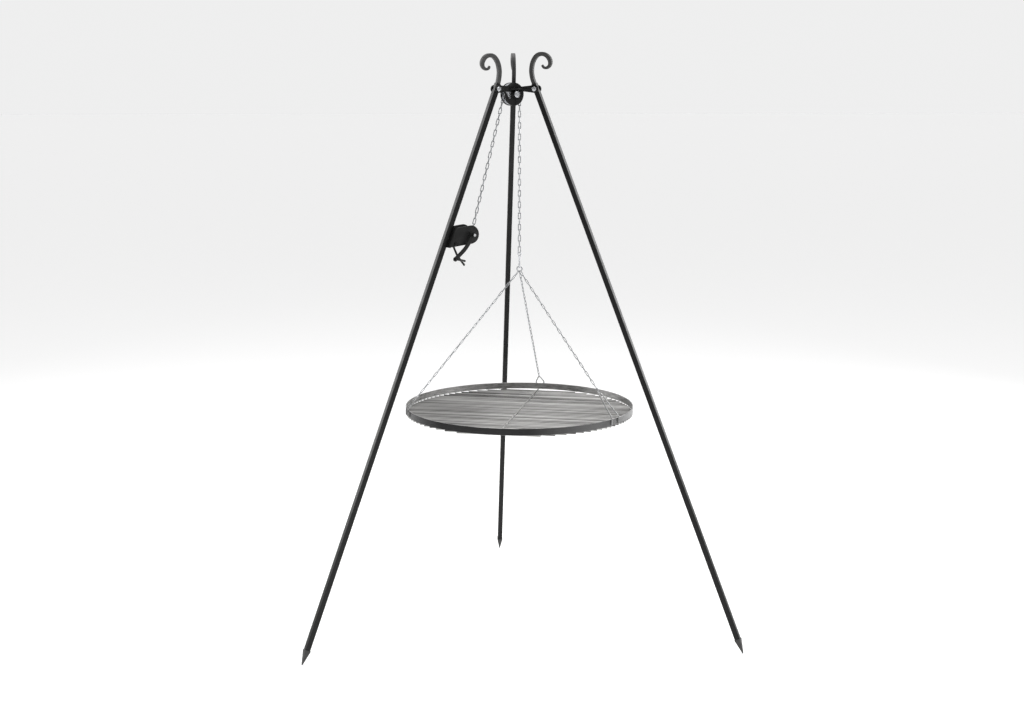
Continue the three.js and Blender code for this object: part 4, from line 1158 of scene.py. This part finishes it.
def add_rods():
    reach = GRATE_RADIUS - 0.6 * MM
    bm = bmesh.new()
    beads = bmesh.new()
    rng = random.Random(5)
    count = int((reach - ROD_PITCH / 2) / ROD_PITCH)
    for i in range(-count, count + 1):
        offset = i * ROD_PITCH
        half = math.sqrt(reach ** 2 - (abs(offset) + ROD_RADIUS) ** 2)
        rod_between(bm, Vector((-half, offset, ROD_LEVEL)), Vector((half, offset, ROD_LEVEL)), ROD_RADIUS)
        seat = math.sqrt((GRATE_RADIUS - 1.5 * MM) ** 2 - offset ** 2)
        for sign in (-1, 1):
            inward = Vector((seat * sign, offset)).normalized() * 3.4 * MM
            place = Vector((seat * sign - inward.x, offset - inward.y, ROD_LEVEL + ROD_RADIUS - 0.2 * MM))
            size = [rng.uniform(1.8, 2.6) * MM, rng.uniform(1.8, 2.6) * MM, rng.uniform(0.9, 1.3) * MM]
            weld_bead(beads, place, size)
    cross = ROD_LEVEL + ROD_RADIUS - 0.7 * MM + 2 * MM
    cross_reach = GRATE_RADIUS - RIM_THICKNESS - CROSS_ROD_END_GAP
    rod_between(bm, Vector((0, -cross_reach, cross)), Vector((0, cross_reach, cross)), 2 * MM)
    piece("rods", from_bmesh(bm, grate_frame()), ROD_STEEL, "grate", ["grate_rods"])
    piece("rim_welds", from_bmesh(beads, grate_frame()), WIRE_STEEL, "grate", [])


# Studio

def add_floor():
    bm = bmesh.new()
    bmesh.ops.create_grid(bm, x_segments=1, y_segments=1, size=60)
    mesh = bpy.data.meshes.new("floor")
    bm.to_mesh(mesh)
    bm.free()
    material = bpy.data.materials.new("pale_floor")
    material.use_nodes = True
    shader = material.node_tree.nodes["Principled BSDF"]
    shader.inputs["Base Color"].default_value = (0.86, 0.86, 0.86, 1)
    shader.inputs["Roughness"].default_value = 0.8
    shader.inputs["Emission Color"].default_value = (1, 1, 1, 1)
    shader.inputs["Emission Strength"].default_value = 0.22
    mesh.materials.append(material)
    floor = bpy.data.objects.new("floor", mesh)
    floor.location.z = -0.5 * MM
    bpy.context.scene.collection.objects.link(floor)


def add_light(name, place, target, size, power):
    light = bpy.data.lights.new(name, "AREA")
    light.shape = "RECTANGLE"
    light.size, light.size_y = size
    light.energy = power
    obj = bpy.data.objects.new(name, light)
    obj.location = place
    obj.rotation_euler = (Vector(target) - Vector(place)).to_track_quat("-Z", "Y").to_euler()
    bpy.context.scene.collection.objects.link(obj)


def add_world():
    """A white room, dimmer in front of the stand so that black paint and bright metal keep their edges."""
    world = bpy.data.worlds.new("studio")
    world.use_nodes = True
    tree = world.node_tree
    room = tree.nodes["Background"]
    place = tree.nodes.new("ShaderNodeTexCoord")
    split = tree.nodes.new("ShaderNodeSeparateXYZ")
    tree.links.new(place.outputs["Generated"], split.inputs["Vector"])
    front = spread(tree, split.outputs["Y"], 0.1, 1.0, -0.55, 0.5)
    top = spread(tree, split.outputs["Z"], 0.0, 0.9, 0.35, 0.95)
    most = tree.nodes.new("ShaderNodeMath")
    most.operation = "MAXIMUM"
    tree.links.new(front, most.inputs[0])
    tree.links.new(top, most.inputs[1])
    tree.links.new(most.outputs["Value"], room.inputs["Strength"])
    room.inputs["Color"].default_value = (1, 1, 1, 1)
    backdrop = tree.nodes.new("ShaderNodeBackground")
    backdrop.inputs["Color"].default_value = (0.86, 0.86, 0.86, 1)
    seen = tree.nodes.new("ShaderNodeLightPath")
    mix = tree.nodes.new("ShaderNodeMixShader")
    tree.links.new(seen.outputs["Is Camera Ray"], mix.inputs["Fac"])
    tree.links.new(room.outputs["Background"], mix.inputs[1])
    tree.links.new(backdrop.outputs["Background"], mix.inputs[2])
    tree.links.new(mix.outputs["Shader"], tree.nodes["World Output"].inputs["Surface"])
    bpy.context.scene.world = world


def add_studio():
    add_world()
    middle = (0, STAND_AXIS.y, 0.9)
    add_light("left_softbox", (-3.4, 1.6, 2.3), middle, (1.8, 3.0), 58)
    add_light("right_softbox", (3.4, 1.6, 2.3), middle, (1.8, 3.0), 58)
    add_light("key_softbox", (2.6, -3.0, 3.2), middle, (1.0, 1.6), 60)
    add_light("top_softbox", (0.2, 0.3, 4.4), middle, (2.6, 2.2), 60)
    add_light("edge_strip", (-1.5, -3.5, 1.5), middle, (0.15, 1.6), 8)
    bpy.context.scene.view_settings.view_transform = "Standard"


def add_camera():
    """In front and a little to the left of the stand, at eye height, looking slightly down."""
    turn = math.radians(4.2)
    back, side, height = 5.0, -0.01, 1.748
    place = Vector((
        side * math.cos(turn) - back * math.sin(turn),
        -side * math.sin(turn) - back * math.cos(turn) + STAND_AXIS.y,
        height,
    ))
    camera = bpy.data.cameras.new("camera")
    camera.sensor_width = 36
    camera.lens = 56.64
    camera.clip_end = 200
    obj = bpy.data.objects.new("camera", camera)
    obj.location = place
    obj.rotation_euler = (math.radians(90 - 9.96), 0, -turn)
    bpy.context.scene.collection.objects.link(obj)
    bpy.context.scene.camera = obj


add_camera()
add_studio()
add_floor()
add_leg_tubes()
add_spikes()
add_scrolls()
add_star_plate()
add_ears()
add_cheeks()
add_pivot_bolts()
add_pulley()
add_main_chain()
add_housing()
add_winch_bolts()
add_drum()
add_drum_chain()
add_crank()
add_catch()
add_snap_hook()
add_swivel_and_ring()
add_hangers()
add_rim()
add_rods()
